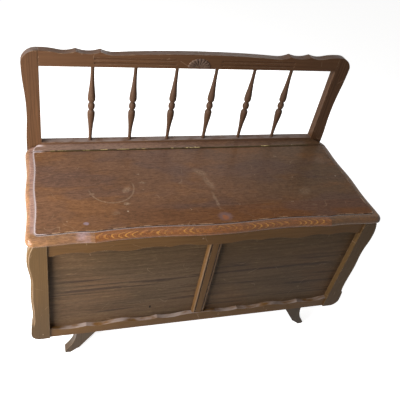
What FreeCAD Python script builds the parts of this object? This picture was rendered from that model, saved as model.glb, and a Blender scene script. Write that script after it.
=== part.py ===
import FreeCAD, Part
import Sketcher
import os

# Settle bench: an oak box seat with a lifting lid and an open back of turned spindles.
# Millimetres. +X runs along the bench to the right of someone who faces its front, +Y to the back
# and +Z up. The origin lies on the floor, in the middle of the bench's width and depth.

SIZES = {
    # the whole bench
    "lid_width": 960,
    "seat_height": 490,
    "foot_height": 94,
    "back_height": 291,
    # lid and the fixed strip behind it
    "lid_depth": 350,
    "lid_thickness": 20,
    "seam_gap": 2.8,
    "strip_width": 31.4,
    "nosing_width": 22.5,
    "nosing_drop": 2.5,
    "nosing_round": 13,
    "nosing_under_round": 4,
    "lid_corner": 20,
    "field_corner": 9,
    "strip_corner_past": 5,
    "field_corner_cut": 15,
    "field_corner_bow": 4,
    "front_bow": 4,
    "front_bow_half": 100,
    "front_cusp": 2.5,
    "front_cusp_from_end": 162,
    "front_cusp_round": 15,
    "front_turn": 1,
    "front_turn_from_end": 85,
    "front_end": 3.5,
    "side_wave": 3.2,
    "batten_width": 50,
    "batten_thickness": 18,
    "batten_chamfer": 4,
    "batten_front_inset": 50,
    "batten_rear_inset": 25,
    "batten_spread": 260,
    # continuous hinge
    "hinge_length": 820,
    "hinge_barrel": 5,
    "hinge_pin": 2,
    "hinge_running_clearance": 0.05,
    "hinge_leaf": 1,
    "hinge_leaf_height": 16,
    "hinge_drop": 0.3,
    "hinge_rebate": 2.6,
    "knuckle_clearance": 0.3,
    "hinge_screw": 3,
    "hinge_screw_length": 16,
    "hinge_screw_drop": 11,
    "hinge_screw_margin": 40,
    # front of the box
    "front_overhang": 4.5,
    "stile_proud": 4,
    "panel_recess": 12,
    "panel_thickness": 8,
    "panel_lap": 8,
    "panel_play": 0.5,
    "stile_width": 49.4,
    "stile_top_in": 12,
    "stile_bulge_in": 0.5,
    "stile_bulge_drop": 55,
    "stile_waist_in": 7,
    "stile_waist_drop": 130,
    "stile_swell_in": 4.5,
    "stile_swell_drop": 195,
    "stile_dip_in": 6.5,
    "stile_dip_drop": 270,
    "stile_heel_out": 0.5,
    "stile_heel_rise": 28,
    "stile_corner_run": 20,
    "stile_corner_bow": 6.3,
    "stile_moulding": 6.5,
    "stile_moulding_stop": 12,
    "top_rail_height": 42,
    "bottom_rail_height": 37,
    "scallop_depth": 8,
    "cusp_depth": 2.5,
    "scallop_turn": 5,
    "scallop_ease": 1,
    "outer_turn": 26,
    "outer_cusp": 100,
    "bulge_start": 162,
    "bulge_end": 231,
    "inner_cusp": 125,
    "inner_turn": 62,
    "inner_flat": 30,
    "muntin_width": 38,
    "muntin_setback": 2,
    "muntin_flat_half": 8.5,
    "muntin_groove": 3,
    "muntin_groove_depth": 1.3,
    "muntin_bead_drop": 6,
    "muntin_bead_bow": 2.2,
    "muntin_tongue": 22,
    "tenon_thickness": 8,
    "tenon_length": 24,
    "tenon_shoulder": 6,
    # sides, back and bottom of the box
    "side_inset": 22,
    "side_thickness": 20,
    "side_stile_width": 50,
    "side_top_rail_height": 55,
    "side_bottom_rail_height": 45,
    "back_panel_thickness": 6,
    "back_rail_thickness": 20,
    "back_rail_height": 50,
    "bottom_board_thickness": 8,
    "cleat_width": 20,
    "cleat_height": 12,
    # back frame
    "back_thickness": 24,
    "back_frame_inset": 1.5,
    "back_stile_width": 44.9,
    "back_stile_tail": 240,
    "back_tail_inset": 3.5,
    "back_waist_inset": 8,
    "back_waist_rise": 110,
    "back_shoulder_width": 40,
    "back_shoulder_drop": 32,
    "back_shoulder_bow": 8.8,
    "crest_height": 42.5,
    "crest_bow": 8,
    "crest_cusp_hollow": 6.2,
    "crest_inner_hollow": 2.7,
    "crest_end_hollow": 4.2,
    "crest_end_bow": 1.2,
    "crest_turn_from_stile": 43,
    "crest_turn_drop": 3.5,
    "crest_cusp_from_stile": 94,
    "crest_inner_cusp_from_stile": 159,
    "crest_arc_from_stile": 199,
    "flute_width": 7,
    "flute_depth": 2,
    "flute_pitch": 12,
    "flute_drop": 18.5,
    "flute_inner_end": 64,
    "flute_outer_end": 293,
    "lower_rail_height": 60,
    "lower_rail_rise": 7.5,
    "lower_rail_thickness": 22,
    "back_tenon_length": 24,
    # spindles
    "spindle_spacing": 117.5,
    "spindle_bead_height": 116,
    "spindle_end": 10,
    "spindle_end_length": 12,
    "spindle_taper": 18,
    "spindle_taper_from_bead": 47.5,
    "spindle_taper_hollow": 0.9,
    "spindle_swell": 21.5,
    "spindle_swell_from_bead": 23,
    "spindle_swell_bow": 0.5,
    "spindle_neck": 13,
    "spindle_neck_from_bead": 13.5,
    "spindle_neck_bow": 1.2,
    "spindle_bead_half": 11,
    "spindle_bead_bow": 3.75,
    "spindle_tenon": 8,
    "spindle_tenon_length": 14,
    "bore_clearance": 0.05,
    # shell carving
    "shell_reach": 34,
    "shell_height": 27,
    "shell_rise": 4.5,
    "shell_root": 1.2,
    "shell_lobe": 4.8,
    "shell_sink": 1,
    "shell_fan": 80,
    # feet
    "foot_thickness": 22,
    "foot_setback": 3,
    "foot_rear_setback": 4,
    "foot_root_from_end": 123,
    "foot_root_width": 57,
    "foot_toe_out": 32,
    "foot_toe_tip": 4,
    "foot_toe_rise": 9,
    "foot_toe_bow": 2,
    "foot_sole": 12,
    "foot_outer_hollow": 7.5,
    "foot_ball_rise": 21,
    "foot_ball_run": 25,
    "foot_ball_bow": 1.2,
    "dowel": 8,
    "dowel_length": 36,
    "dowel_spacing": 26,
    "dowel_outward": 6,
    "dowel_inset": 8.5,
    # screws
    "frame_screw": 5,
    "frame_screw_head": 9,
    "frame_screw_length": 60,
    "frame_screw_first": 50,
    "frame_screw_pitch": 80,
    "frame_screw_in": 8,
    "batten_screw": 4,
    "batten_screw_head": 8,
    "batten_screw_length": 30,
    "batten_screw_pitch": 110,
}
SPINDLES = 6
FLUTES = 2
KNUCKLES = 30
HINGE_SCREWS = 8
FRAME_SCREWS = 3
BATTEN_SCREWS = 3
SHELL_LOBES = 9
QUARTER_ARC = 0.292893

doc = FreeCAD.newDocument("SettleBench")
sheet = doc.addObject("Spreadsheet::Sheet", "Sizes")
for row, (word, number) in enumerate(SIZES.items(), start=1):
    sheet.set("A%d" % row, word)
    sheet.set("B%d" % row, str(number))
    sheet.setAlias("B%d" % row, word)
doc.recompute()


class Size:
    """A length: its number, and the expression over the sheet that gives it."""

    def __init__(self, value, text):
        self.value = float(value)
        self.text = text

    def join(self, other, sign, value):
        return Size(value, "(%s %s %s)" % (self.text, sign, as_size(other).text))

    def __add__(self, other):
        return self.join(other, "+", self.value + as_size(other).value)

    def __sub__(self, other):
        return self.join(other, "-", self.value - as_size(other).value)

    def __mul__(self, other):
        return self.join(other, "*", self.value * as_size(other).value)

    def __truediv__(self, other):
        return self.join(other, "/", self.value / as_size(other).value)

    def __neg__(self):
        return self * -1


def as_size(number):
    return number if isinstance(number, Size) else Size(number, repr(float(number)))


def size(word):
    return Size(sheet.get(word), "Sizes.%s" % word)


ZERO = as_size(0)
sub_parts = []

# Places that several pieces share
half_width = size("lid_width") / 2
total_depth = size("lid_depth") + size("seam_gap") + size("strip_width") + size("back_thickness")
nosing_front = -total_depth / 2
stile_front = nosing_front + size("front_overhang")
rail_front = stile_front + size("stile_proud")
panel_front = rail_front + size("panel_recess")
frame_back = panel_front + size("panel_thickness")
frame_thickness = frame_back - stile_front
lid_rear = nosing_front + size("lid_depth")
pin_y = lid_rear + size("seam_gap") / 2
strip_front = lid_rear + size("seam_gap")
back_front = strip_front + size("strip_width")
back_rear = back_front + size("back_thickness")
seat_top = size("seat_height")
case_top = seat_top - size("lid_thickness")
case_bottom = size("foot_height")
case_height = case_top - case_bottom
pin_z = seat_top - size("hinge_drop")
stile_inner = half_width - size("stile_width")
side_outer = half_width - size("side_inset")
side_inner = side_outer - size("side_thickness")
side_lip = side_inner + size("panel_thickness")
strip_corner = size("strip_width") + size("strip_corner_past")
case_rear = back_front - size("back_panel_thickness")
back_rail_front = case_rear - size("back_rail_thickness")
top_scallop = case_top - size("top_rail_height")
bottom_scallop = case_bottom + size("bottom_rail_height")
panel_top = top_scallop + size("scallop_depth") + size("panel_lap")
panel_bottom = bottom_scallop - size("scallop_depth") - size("panel_lap")
rebate_top = panel_top + size("panel_play")
rebate_bottom = panel_bottom - size("panel_play")
back_outer = half_width - size("back_frame_inset")
back_inner = back_outer - size("back_stile_width")
back_top = seat_top + size("back_height")
crest_bottom = back_top - size("crest_height")
lower_rail_top = seat_top + size("lower_rail_rise")
lower_rail_bottom = lower_rail_top - size("lower_rail_height")
tail_bottom = seat_top - size("back_stile_tail")
rail_tenon_y = rail_front + (size("panel_recess") - size("tenon_thickness")) / 2
back_tenon_y = (size("lower_rail_thickness") - size("tenon_thickness")) / 2

SIDES = ((-1, "left"), (1, "right"))
FORWARD = FreeCAD.Vector(0, -1, 0)
BACKWARD = FreeCAD.Vector(0, 1, 0)
UPWARD = FreeCAD.Vector(0, 0, 1)
NO_TURN = FreeCAD.Rotation()
TURN_FORWARD = FreeCAD.Rotation(FreeCAD.Vector(1, 0, 0), 90)
TURN_BACKWARD = FreeCAD.Rotation(FreeCAD.Vector(1, 0, 0), -90)
TURN_ALONG_X = FreeCAD.Rotation(FreeCAD.Vector(0, 1, 0), 90)


# Helpers that bind objects to the sheet

def bind(thing, prop, length):
    thing.setExpression(prop, length.text)


def place(thing, x=ZERO, y=ZERO, z=ZERO):
    for axis, length in zip("xyz", (x, y, z)):
        bind(thing, "Placement.Base.%s" % axis, length)


def new_body(name):
    body = doc.addObject("PartDesign::Body", "Body_" + name)
    body.Label = name
    sub_parts.append(body)
    return body


def sketch(body, plane, loops, lift=None):
    """A sketch of closed loops on one of the body's own planes, lifted along its normal."""
    drawing = body.newObject("Sketcher::SketchObject", "Sketch")
    base = [feature for feature in body.Origin.OriginFeatures if feature.Role == plane][0]
    drawing.AttachmentSupport = [(base, "")]
    drawing.MapMode = "FlatFace"
    if lift is not None:
        bind(drawing, "AttachmentOffset.Base.z", lift)
    for loop in loops:
        draw_loop(drawing, loop)
    return drawing


def constrain(drawing, pairs):
    """Adds constraints, each with the length that drives it or None."""
    first = drawing.ConstraintCount
    drawing.addConstraint([constraint for constraint, _ in pairs])
    for number, (_, length) in enumerate(pairs, start=first):
        if length is not None and "Sizes" in length.text:
            bind(drawing, "Constraints[%d]" % number, length)


def draw_loop(drawing, corners):
    """A closed loop of lines and arcs. A corner is (u, v) or (u, v, bulge), where the bulge is how
    far the edge to the next corner swells to the left of its way. In a loop drawn anticlockwise
    that is inwards, so a hollow is positive and an outward bow is negative."""
    corners = [tuple(as_size(number) for number in corner) for corner in corners]
    pairs = []
    ends = []
    for here, there in zip(corners, corners[1:] + corners[:1]):
        start = FreeCAD.Vector(here[0].value, here[1].value, 0)
        end = FreeCAD.Vector(there[0].value, there[1].value, 0)
        if len(here) == 2:
            ends.append((drawing.addGeometry(Part.LineSegment(start, end)), 1, 2))
            continue
        bulge = here[2]
        left = FreeCAD.Vector(start.y - end.y, end.x - start.x, 0).normalize()
        crown = (start + end) / 2 + left * bulge.value
        if bulge.value < 0:
            ends.append((drawing.addGeometry(Part.Arc(start, crown, end)), 1, 2))
        else:
            ends.append((drawing.addGeometry(Part.Arc(end, crown, start)), 2, 1))
        du = there[0] - here[0]
        dv = there[1] - here[1]
        swell = bulge if bulge.value > 0 else -bulge
        radius = (du * du + dv * dv + bulge * bulge * 4) / (swell * 8)
        pairs.append((Sketcher.Constraint("Radius", ends[-1][0], radius.value), radius))
    for (index, _, end), (following, begin, _) in zip(ends, ends[1:] + ends[:1]):
        pairs.append((Sketcher.Constraint("Coincident", index, end, following, begin), None))
    for (index, begin, _), (u, v, *_) in zip(ends, corners):
        pairs.append((Sketcher.Constraint("DistanceX", -1, 1, index, begin, u.value), u))
        pairs.append((Sketcher.Constraint("DistanceY", -1, 1, index, begin, v.value), v))
    constrain(drawing, pairs)


def mirrored(half, closing=()):
    """The loop of a shape that is alike left and right: the right half, then its image. The
    half's last edge runs across to the image, and the closing edge runs back to the start."""
    loop = list(half)
    for number in range(len(half) - 1, -1, -1):
        edge = half[number - 1][2:] if number else closing
        loop.append((-as_size(half[number][0]), half[number][1]) + tuple(edge))
    return loop


def on_side(side, loop):
    """A loop drawn for the right side, or its image for the left."""
    return [(as_size(u) * side, v) + tuple(as_size(b) * side for b in bulge) for u, v, *bulge in loop]


def swaying(extremes):
    """The corners of an upright edge that sways from one extreme to the next, going up, with two
    equal arcs to each stretch so that the whole edge is smooth. The last extreme is left out."""
    corners = []
    for (u, v), (next_u, next_v) in zip(extremes, extremes[1:]):
        bulge = (next_u - u) / 8
        corners.append((u, v, bulge))
        corners.append(((u + next_u) / 2, (v + next_v) / 2, -bulge))
    return corners


def rectangle(u, v):
    return [(u[0], v[0]), (u[1], v[0]), (u[1], v[1]), (u[0], v[1])]


def pad(body, drawing, length, backwards=False):
    feature = body.newObject("PartDesign::Pad", "Pad")
    feature.Profile = drawing
    feature.Reversed = backwards
    bind(feature, "Length", length)
    return feature


def pocket(body, drawing, length, both_ways=False):
    feature = body.newObject("PartDesign::Pocket", "Pocket")
    feature.Profile = drawing
    feature.Midplane = both_ways
    bind(feature, "Length", length)
    return feature


def block(body, kind, x, y, z):
    """A tenon (AdditiveBox) or a mortise (SubtractiveBox) between two places along each axis."""
    feature = body.newObject("PartDesign::" + kind, kind)
    bind(feature, "Length", x[1] - x[0])
    bind(feature, "Width", y[1] - y[0])
    bind(feature, "Height", z[1] - z[0])
    place(feature, x[0], y[0], z[0])
    return feature


def bore(body, spot, diameter, depth, turn=NO_TURN):
    """A round hole up from its spot, or along the way that the turn gives it."""
    feature = body.newObject("PartDesign::SubtractiveCylinder", "Bore")
    bind(feature, "Radius", diameter / 2)
    bind(feature, "Height", depth)
    feature.Placement = FreeCAD.Placement(FreeCAD.Vector(), turn)
    place(feature, *spot)
    return feature


def hollow(body, spot, diameter):
    """A round hollow about its spot."""
    feature = body.newObject("PartDesign::SubtractiveSphere", "Hollow")
    bind(feature, "Radius", diameter / 2)
    place(feature, *spot)
    return feature


def countersink(body, spot, head, shank, turn=NO_TURN):
    feature = body.newObject("PartDesign::SubtractiveCone", "Countersink")
    bind(feature, "Radius1", head / 2)
    bind(feature, "Radius2", shank / 2)
    bind(feature, "Height", (head - shank) / 2)
    feature.Placement = FreeCAD.Placement(FreeCAD.Vector(), turn)
    place(feature, *spot)
    return feature


def dress(body, kind, base, test, length):
    """A Fillet or Chamfer on the edges of the base that pass the test."""
    doc.recompute()
    names = ["Edge%d" % number for number, edge in enumerate(base.Shape.Edges, start=1) if test(edge)]
    feature = body.newObject("PartDesign::" + kind, kind)
    feature.Base = (base, names)
    bind(feature, "Radius" if kind == "Fillet" else "Size", length)
    return feature


def at_height(edge, height):
    box = edge.BoundBox
    return abs(box.ZMin - height) < 1e-4 and abs(box.ZMax - height) < 1e-4


def plain_board(name, x, y, z):
    """A board with square edges between two places along each axis."""
    board = doc.addObject("Part::Box", "Board_" + name)
    board.Label = name
    bind(board, "Length", x[1] - x[0])
    bind(board, "Width", y[1] - y[0])
    bind(board, "Height", z[1] - z[0])
    place(board, x[0], y[0], z[0])
    sub_parts.append(board)
    return board


def span(side, near, far):
    """Two places along X, near and far from the middle, in rising order on either side."""
    return (near, far) if side > 0 else (-far, -near)


def centred(number, count):
    """The steps from the middle of a row to one of its members."""
    return number - (count - 1) / 2


def fasteners(name, spots, direction, length, shank, head=None):
    """A group of like dowels or countersunk screws, each a solid of its own."""
    solids = []
    for spot in spots:
        start = FreeCAD.Vector(*[as_size(number).value for number in spot])
        solid = Part.makeCylinder(shank.value / 2, length.value, start, direction)
        if head:
            depth = (head.value - shank.value) / 2
            cone = Part.makeCone(head.value / 2, shank.value / 2, depth, start, direction)
            solid = solid.fuse(cone).removeSplitter()
        solids.append(solid)
    group = doc.addObject("Part::Feature", "Group_" + name)
    group.Shape = Part.makeCompound(solids)
    group.Placement = FreeCAD.Placement()
    group.Label = name
    sub_parts.append(group)


# Lid and rear strip: one wavy outline with a moulded edge, sawn apart at the seam

def lid_loop(inset, corner):
    """The lid from above, going round from the middle of its front: the outer edge, or the field
    inside the moulding. The bows and hollows of the front run into each other without a break,
    and only the two cusps are sharp."""
    level = nosing_front + size("front_bow") + inset
    edge = half_width - inset
    cusp_run = half_width - size("front_cusp_from_end") - size("front_bow_half")
    end_run = size("front_cusp_from_end") - size("front_turn_from_end")
    turn_run = size("front_turn_from_end") - inset - corner
    fall = size("front_end") - size("front_turn")
    hollow = cusp_run * size("front_bow") / size("front_bow_half") / 2 + size("front_cusp") / 4
    end_hollow = (size("front_cusp") - size("front_turn")) / 4 + end_run * fall / turn_run / 2
    front_end = level - size("front_end")
    first = front_end + corner
    wave = (lid_rear - first) / 4
    trough = edge - size("side_wave")
    return mirrored([
        (size("front_bow_half"), level, hollow),
        (half_width - size("front_cusp_from_end"), level - size("front_cusp"), end_hollow),
        (half_width - size("front_turn_from_end"), level - size("front_turn"), -fall / 4),
        (edge - corner, front_end, corner * -QUARTER_ARC),
    ] + swaying([
        (edge, first),
        (trough, first + wave),
        (edge, first + wave * 2),
        (trough, first + wave * 3),
        (edge, lid_rear),
    ]) + [(edge, lid_rear)], closing=(-size("front_bow"),))


def strip_outline():
    """The fixed strip from above: a rounded corner that runs on behind the back frame's face."""
    return mirrored([
        (half_width, strip_front, strip_corner * -QUARTER_ARC),
        (half_width - strip_corner, strip_front + strip_corner),
    ])


def strip_field():
    """The raised field of the fixed strip from above."""
    edge = half_width - size("nosing_width")
    return mirrored([
        (edge, strip_front, -size("field_corner_bow")),
        (edge - size("field_corner_cut"), back_front),
    ])


def moulded_board(name, outer, field, seam):
    """A board with a thumb moulding along every edge but its seam, and a raised field."""
    body = new_body(name)
    place(body, z=case_top)
    step = size("lid_thickness") - size("nosing_drop")
    base = pad(body, sketch(body, "XY_Plane", [outer]), step)

    def is_cusp(edge):
        x = abs(edge.BoundBox.Center.x)
        cusp_x = (half_width - size("front_cusp_from_end")).value
        return edge.BoundBox.ZLength > 1 and abs(x - cusp_x) < 1

    def is_free(edge):
        return abs(edge.BoundBox.Center.y - seam.value) > 1e-3

    if name == "lid_board":
        base = dress(body, "Fillet", base, is_cusp, size("front_cusp_round"))
    top = dress(
        body, "Fillet", base, lambda e: at_height(e, step.value) and is_free(e), size("nosing_round")
    )
    dress(body, "Fillet", top, lambda e: at_height(e, 0) and is_free(e), size("nosing_under_round"))
    if name == "seat_rear_strip":
        behind = (back_front, strip_front + strip_corner)
        block(body, "SubtractiveBox", (-half_width, half_width), behind, (ZERO, size("lid_thickness")))
    pad(body, sketch(body, "XY_Plane", [field], lift=step), size("nosing_drop"))
    return body


def hinge_rebate(body, seam, way):
    """The bevel along the seam that the hinge's barrel lies in."""
    top = size("lid_thickness")
    depth = size("hinge_rebate")
    bevel = [(seam, top - depth), (seam, top), (seam + depth * way, top)]
    run = size("hinge_length") + size("knuckle_clearance") * 2
    pocket(body, sketch(body, "YZ_Plane", [bevel]), run, both_ways=True)


strip = moulded_board("seat_rear_strip", strip_outline(), strip_field(), strip_front)
hinge_rebate(strip, strip_front, 1)
lid_outline = lid_loop(ZERO, size("lid_corner"))
lid_field = lid_loop(size("nosing_width"), size("field_corner"))
lid = moulded_board("lid_board", lid_outline, lid_field, lid_rear)
hinge_rebate(lid, lid_rear, -1)

# Two battens under the lid keep it flat

batten_y = (nosing_front + size("batten_front_inset"), lid_rear - size("batten_rear_inset"))
batten_bottom = case_top - size("batten_thickness")
batten_screw_bore = size("batten_screw") + size("bore_clearance") * 2
batten_screw_sink = size("batten_screw_head") + size("bore_clearance") * 2
batten_spots = []
for side, word in SIDES:
    middle = size("batten_spread") * side
    half = size("batten_width") / 2
    batten = new_body("lid_batten_" + word)
    place(batten, z=batten_bottom)
    outline = rectangle((middle - half, middle + half), batten_y)
    board = pad(batten, sketch(batten, "XY_Plane", [outline]), size("batten_thickness"))
    dress(batten, "Chamfer", board, lambda e: at_height(e, 0), size("batten_chamfer"))
    for number in range(BATTEN_SCREWS):
        step = size("batten_screw_pitch") * centred(number, BATTEN_SCREWS)
        along = (batten_y[0] + batten_y[1]) / 2 + step
        bore(batten, (middle, along, ZERO), batten_screw_bore, size("batten_thickness"))
        countersink(batten, (middle, along, ZERO), batten_screw_sink, batten_screw_bore)
        reach = size("batten_screw_length") - size("batten_thickness")
        bore(lid, (middle, along, ZERO), batten_screw_bore, reach)
        batten_spots.append((middle, along, batten_bottom))
fasteners(
    "batten_screws", batten_spots, UPWARD,
    size("batten_screw_length"), size("batten_screw"), size("batten_screw_head"),
)


# Continuous hinge: two leaves stand in the seam, with their knuckles turn about on one pin

barrel = size("hinge_barrel") / 2
knuckle_pitch = size("hinge_length") / KNUCKLES
knuckle_length = knuckle_pitch - size("knuckle_clearance")
leaf_outer = size("seam_gap") / 2
leaf_inner = leaf_outer - size("hinge_leaf")
leaf_top = -(barrel + size("knuckle_clearance"))
leaf_screw_bore = size("hinge_screw") + size("bore_clearance") * 2
leaf_screw_head = size("hinge_screw") + size("hinge_leaf") * 2
screw_reach = size("hinge_length") / 2 - size("hinge_screw_margin")
hinge_screw_x = [
    screw_reach * (2 * centred(number, HINGE_SCREWS) / (HINGE_SCREWS - 1)) for number in range(HINGE_SCREWS)
]
hinge_screw_z = pin_z - size("hinge_screw_drop")


def hinge_leaf(name, way, first, board, seam):
    """A leaf with every other knuckle, and its screw holes in the leaf and in the board that it
    is screwed to. The way is +1 for the strip's leaf and -1 for the lid's."""
    turn = TURN_BACKWARD if way > 0 else TURN_FORWARD
    leaf = new_body(name)
    place(leaf, x=-size("hinge_length") / 2, y=pin_y, z=pin_z)
    faces = (leaf_inner * way, leaf_outer * way)
    plate = rectangle(faces, (-size("hinge_leaf_height"), leaf_top))
    pad(leaf, sketch(leaf, "YZ_Plane", [plate]), size("hinge_length"))
    start = knuckle_pitch * first + size("knuckle_clearance") / 2
    circle = sketch(leaf, "YZ_Plane", [], lift=start)
    ring = circle.addGeometry(Part.Circle(FreeCAD.Vector(), UPWARD, barrel.value))
    constrain(circle, [
        (Sketcher.Constraint("Coincident", ring, 3, -1, 1), None),
        (Sketcher.Constraint("Radius", ring, barrel.value), barrel),
    ])
    knuckle = pad(leaf, circle, knuckle_length)
    web = sketch(leaf, "YZ_Plane", [rectangle(faces, (leaf_top, ZERO))], lift=start)
    root = pad(leaf, web, knuckle_length)
    copies = leaf.newObject("PartDesign::LinearPattern", "Knuckles")
    copies.Originals = [knuckle, root]
    copies.Direction = (circle, ["N_Axis"])
    bind(copies, "Length", knuckle_pitch * (KNUCKLES - 2))
    copies.Occurrences = KNUCKLES // 2
    leaf.Tip = copies
    pin_bore = size("hinge_pin") + size("hinge_running_clearance") * 2
    bore(leaf, (ZERO, ZERO, ZERO), pin_bore, size("hinge_length"), TURN_ALONG_X)
    sink = leaf_screw_head + size("bore_clearance") * 2
    for x in hinge_screw_x:
        spot = (x + size("hinge_length") / 2, faces[0], -size("hinge_screw_drop"))
        countersink(leaf, spot, sink, leaf_screw_bore, turn)
        into = size("hinge_screw_length") - size("hinge_leaf")
        bore(board, (x, seam, hinge_screw_z - case_top), leaf_screw_bore, into, turn)
    spots = [(x, pin_y + faces[0], hinge_screw_z) for x in hinge_screw_x]
    direction = BACKWARD if way > 0 else FORWARD
    group = name.replace("leaf", "screws")
    fasteners(group, spots, direction, size("hinge_screw_length"), size("hinge_screw"), leaf_screw_head)


hinge_leaf("hinge_leaf_strip", 1, 0, strip, strip_front)
hinge_leaf("hinge_leaf_lid", -1, 1, lid, lid_rear)
pin = doc.addObject("Part::Cylinder", "Rod_hinge_pin")
pin.Label = "hinge_pin"
bind(pin, "Radius", size("hinge_pin") / 2)
bind(pin, "Height", size("hinge_length"))
pin.Placement = FreeCAD.Placement(FreeCAD.Vector(), TURN_ALONG_X)
place(pin, x=-size("hinge_length") / 2, y=pin_y, z=pin_z)
sub_parts.append(pin)


# Front of the box: wavy stiles, scalloped rails, a beaded muntin and two panels

def scalloped(base, way, far):
    """A rail from the front. The way is +1 where its scallops cut upwards, -1 where downwards."""
    cusp = base + size("cusp_depth") * way
    turn = base + size("scallop_turn") * way
    hollow = (size("scallop_depth") - (size("cusp_depth") + size("scallop_turn")) / 2) * way
    bump = size("scallop_turn") * -way
    ease = size("scallop_ease") * -way
    return mirrored([
        (size("inner_flat"), base, ease),
        (size("inner_turn"), turn, hollow),
        (size("inner_cusp"), cusp, hollow),
        (stile_inner - size("bulge_end"), turn, bump),
        (stile_inner - size("bulge_start"), turn, hollow),
        (stile_inner - size("outer_cusp"), cusp, hollow),
        (stile_inner - size("outer_turn"), turn, ease),
        (stile_inner, base),
        (stile_inner, far),
    ])


def rail_tenon_z(way):
    """The height of the tenons of the top rail (+1) or the bottom rail (-1)."""
    if way > 0:
        return (top_scallop + size("scallop_depth"), case_top - size("tenon_shoulder"))
    return (case_bottom + size("tenon_shoulder"), bottom_scallop - size("scallop_depth"))


def front_rail(name, base, way, far, rebate):
    """A lip with the scallops in front, a straight part behind it, and a tenon at each end."""
    rail = new_body(name)
    place(rail, y=rail_front)
    pad(rail, sketch(rail, "XZ_Plane", [scalloped(base, way, far)]), size("panel_recess"), backwards=True)
    behind = (size("panel_recess"), size("panel_recess") + size("panel_thickness"))
    height = (rebate, far) if way > 0 else (far, rebate)
    block(rail, "AdditiveBox", (-stile_inner, stile_inner), behind, height)
    tenon_y = rail_tenon_y - rail_front
    for side, _ in SIDES:
        tenon_x = span(side, stile_inner, stile_inner + size("tenon_length"))
        block(rail, "AdditiveBox", tenon_x, (tenon_y, tenon_y + size("tenon_thickness")), rail_tenon_z(way))
    return rail


front_rail("front_top_rail", top_scallop, 1, case_top, rebate_top)
bottom_rail = front_rail("front_bottom_rail", bottom_scallop, -1, case_bottom, rebate_bottom)

dip = (half_width - size("stile_dip_in"), case_top - size("stile_dip_drop"))
heel = (half_width + size("stile_heel_out"), case_bottom + size("stile_heel_rise"))
stop = ((dip[0] + heel[0]) / 2, (dip[1] + heel[1]) / 2)
sway = (dip[0] - heel[0]) / 8
stop_inner = (half_width - size("stile_moulding_stop"), stop[1] - size("stile_moulding_stop"))
stop_end = (stile_inner, stop_inner[1])
stile_foot = [
    (stile_inner, case_bottom),
    (half_width - size("stile_corner_run"), case_bottom, -size("stile_corner_bow")),
    heel + (sway,),
    stop,
    stop_inner,
    stop_end,
]
crown = (half_width - size("stile_bulge_in"), case_top - size("stile_bulge_drop"))
stile_body = [stop_end, stop_inner, stop + (-sway,)] + swaying([
    dip,
    (half_width - size("stile_swell_in"), case_top - size("stile_swell_drop")),
    (half_width - size("stile_waist_in"), case_top - size("stile_waist_drop")),
    crown,
]) + [
    crown + ((size("stile_bulge_in") - size("stile_top_in")) / 4,),
    (half_width - size("stile_top_in"), case_top),
    (stile_inner, case_top),
]
for side, word in SIDES:
    stile = new_body("front_stile_" + word)
    place(stile, y=stile_front)
    drawing = sketch(stile, "XZ_Plane", [on_side(side, stile_body)])
    board = pad(stile, drawing, frame_thickness, backwards=True)

    def is_outer_arris(edge):
        box = edge.BoundBox
        reach = min(abs(vertex.X) for vertex in edge.Vertexes)
        outer = reach > (half_width - size("stile_top_in")).value - 1
        return box.YMax < 1e-4 and outer and box.ZLength > size("stile_moulding_stop").value + 1

    dress(stile, "Fillet", board, is_outer_arris, size("stile_moulding"))
    pad(stile, sketch(stile, "XZ_Plane", [on_side(side, stile_foot)]), frame_thickness, backwards=True)
    rebate_x = span(side, stile_inner, stile_inner + size("panel_lap"))
    rebate_y = (panel_front - stile_front, frame_thickness)
    block(stile, "SubtractiveBox", rebate_x, rebate_y, (rebate_bottom, rebate_top))
    tenon_x = span(side, stile_inner, stile_inner + size("tenon_length"))
    tenon_y = rail_tenon_y - stile_front
    for way in (1, -1):
        mortise_y = (tenon_y, tenon_y + size("tenon_thickness"))
        block(stile, "SubtractiveBox", tenon_x, mortise_y, rail_tenon_z(way))

muntin = new_body("front_muntin")
place(muntin, y=rail_front + size("muntin_setback"), z=bottom_scallop)
bar = size("panel_recess") - size("muntin_setback")
section = mirrored([
    (size("muntin_flat_half"), ZERO, size("muntin_groove_depth")),
    (size("muntin_flat_half") + size("muntin_groove"), ZERO, -size("muntin_bead_bow")),
    (size("muntin_width") / 2, size("muntin_bead_drop")),
    (size("muntin_width") / 2, bar),
])
pad(muntin, sketch(muntin, "XY_Plane", [section]), top_scallop - bottom_scallop)
tongue = size("muntin_tongue") / 2
tongue_z = (rebate_bottom - bottom_scallop, rebate_top - bottom_scallop)
block(muntin, "AdditiveBox", (-tongue, tongue), (bar, bar + size("panel_thickness")), tongue_z)

play = size("panel_play")
for side, word in SIDES:
    panel_x = span(side, tongue + play, stile_inner + size("panel_lap") - play)
    plain_board("front_panel_" + word, panel_x, (panel_front, frame_back), (panel_bottom, panel_top))


# Sides of the box: a frame of two stiles and two rails round a panel, rebated from inside

side_front = (frame_back, frame_back + size("side_stile_width"))
side_rear = (case_rear - size("side_stile_width"), case_rear)
side_rail_y = (side_front[1], side_rear[0])
side_top_z = (case_top - size("side_top_rail_height"), case_top)
side_bottom_z = (case_bottom, case_bottom + size("side_bottom_rail_height"))
frame_screw_x = side_inner + size("frame_screw_in")
frame_screw_z = [
    seat_top - size("frame_screw_first") - size("frame_screw_pitch") * number
    for number in range(FRAME_SCREWS)
]
frame_screw_bore = size("frame_screw") + size("bore_clearance") * 2
frame_screw_sink = size("frame_screw_head") + size("bore_clearance") * 2


def rebated(whole, inner, lap):
    """The section of a side frame's member: a full edge at whole, and a lip without the panel's
    rebate at inner. The lap is the rebate's width, towards the whole edge."""
    step = inner + size("panel_lap") * lap
    return [
        (side_inner, whole), (side_outer, whole), (side_outer, inner),
        (side_lip, inner), (side_lip, step), (side_inner, step),
    ]


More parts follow.
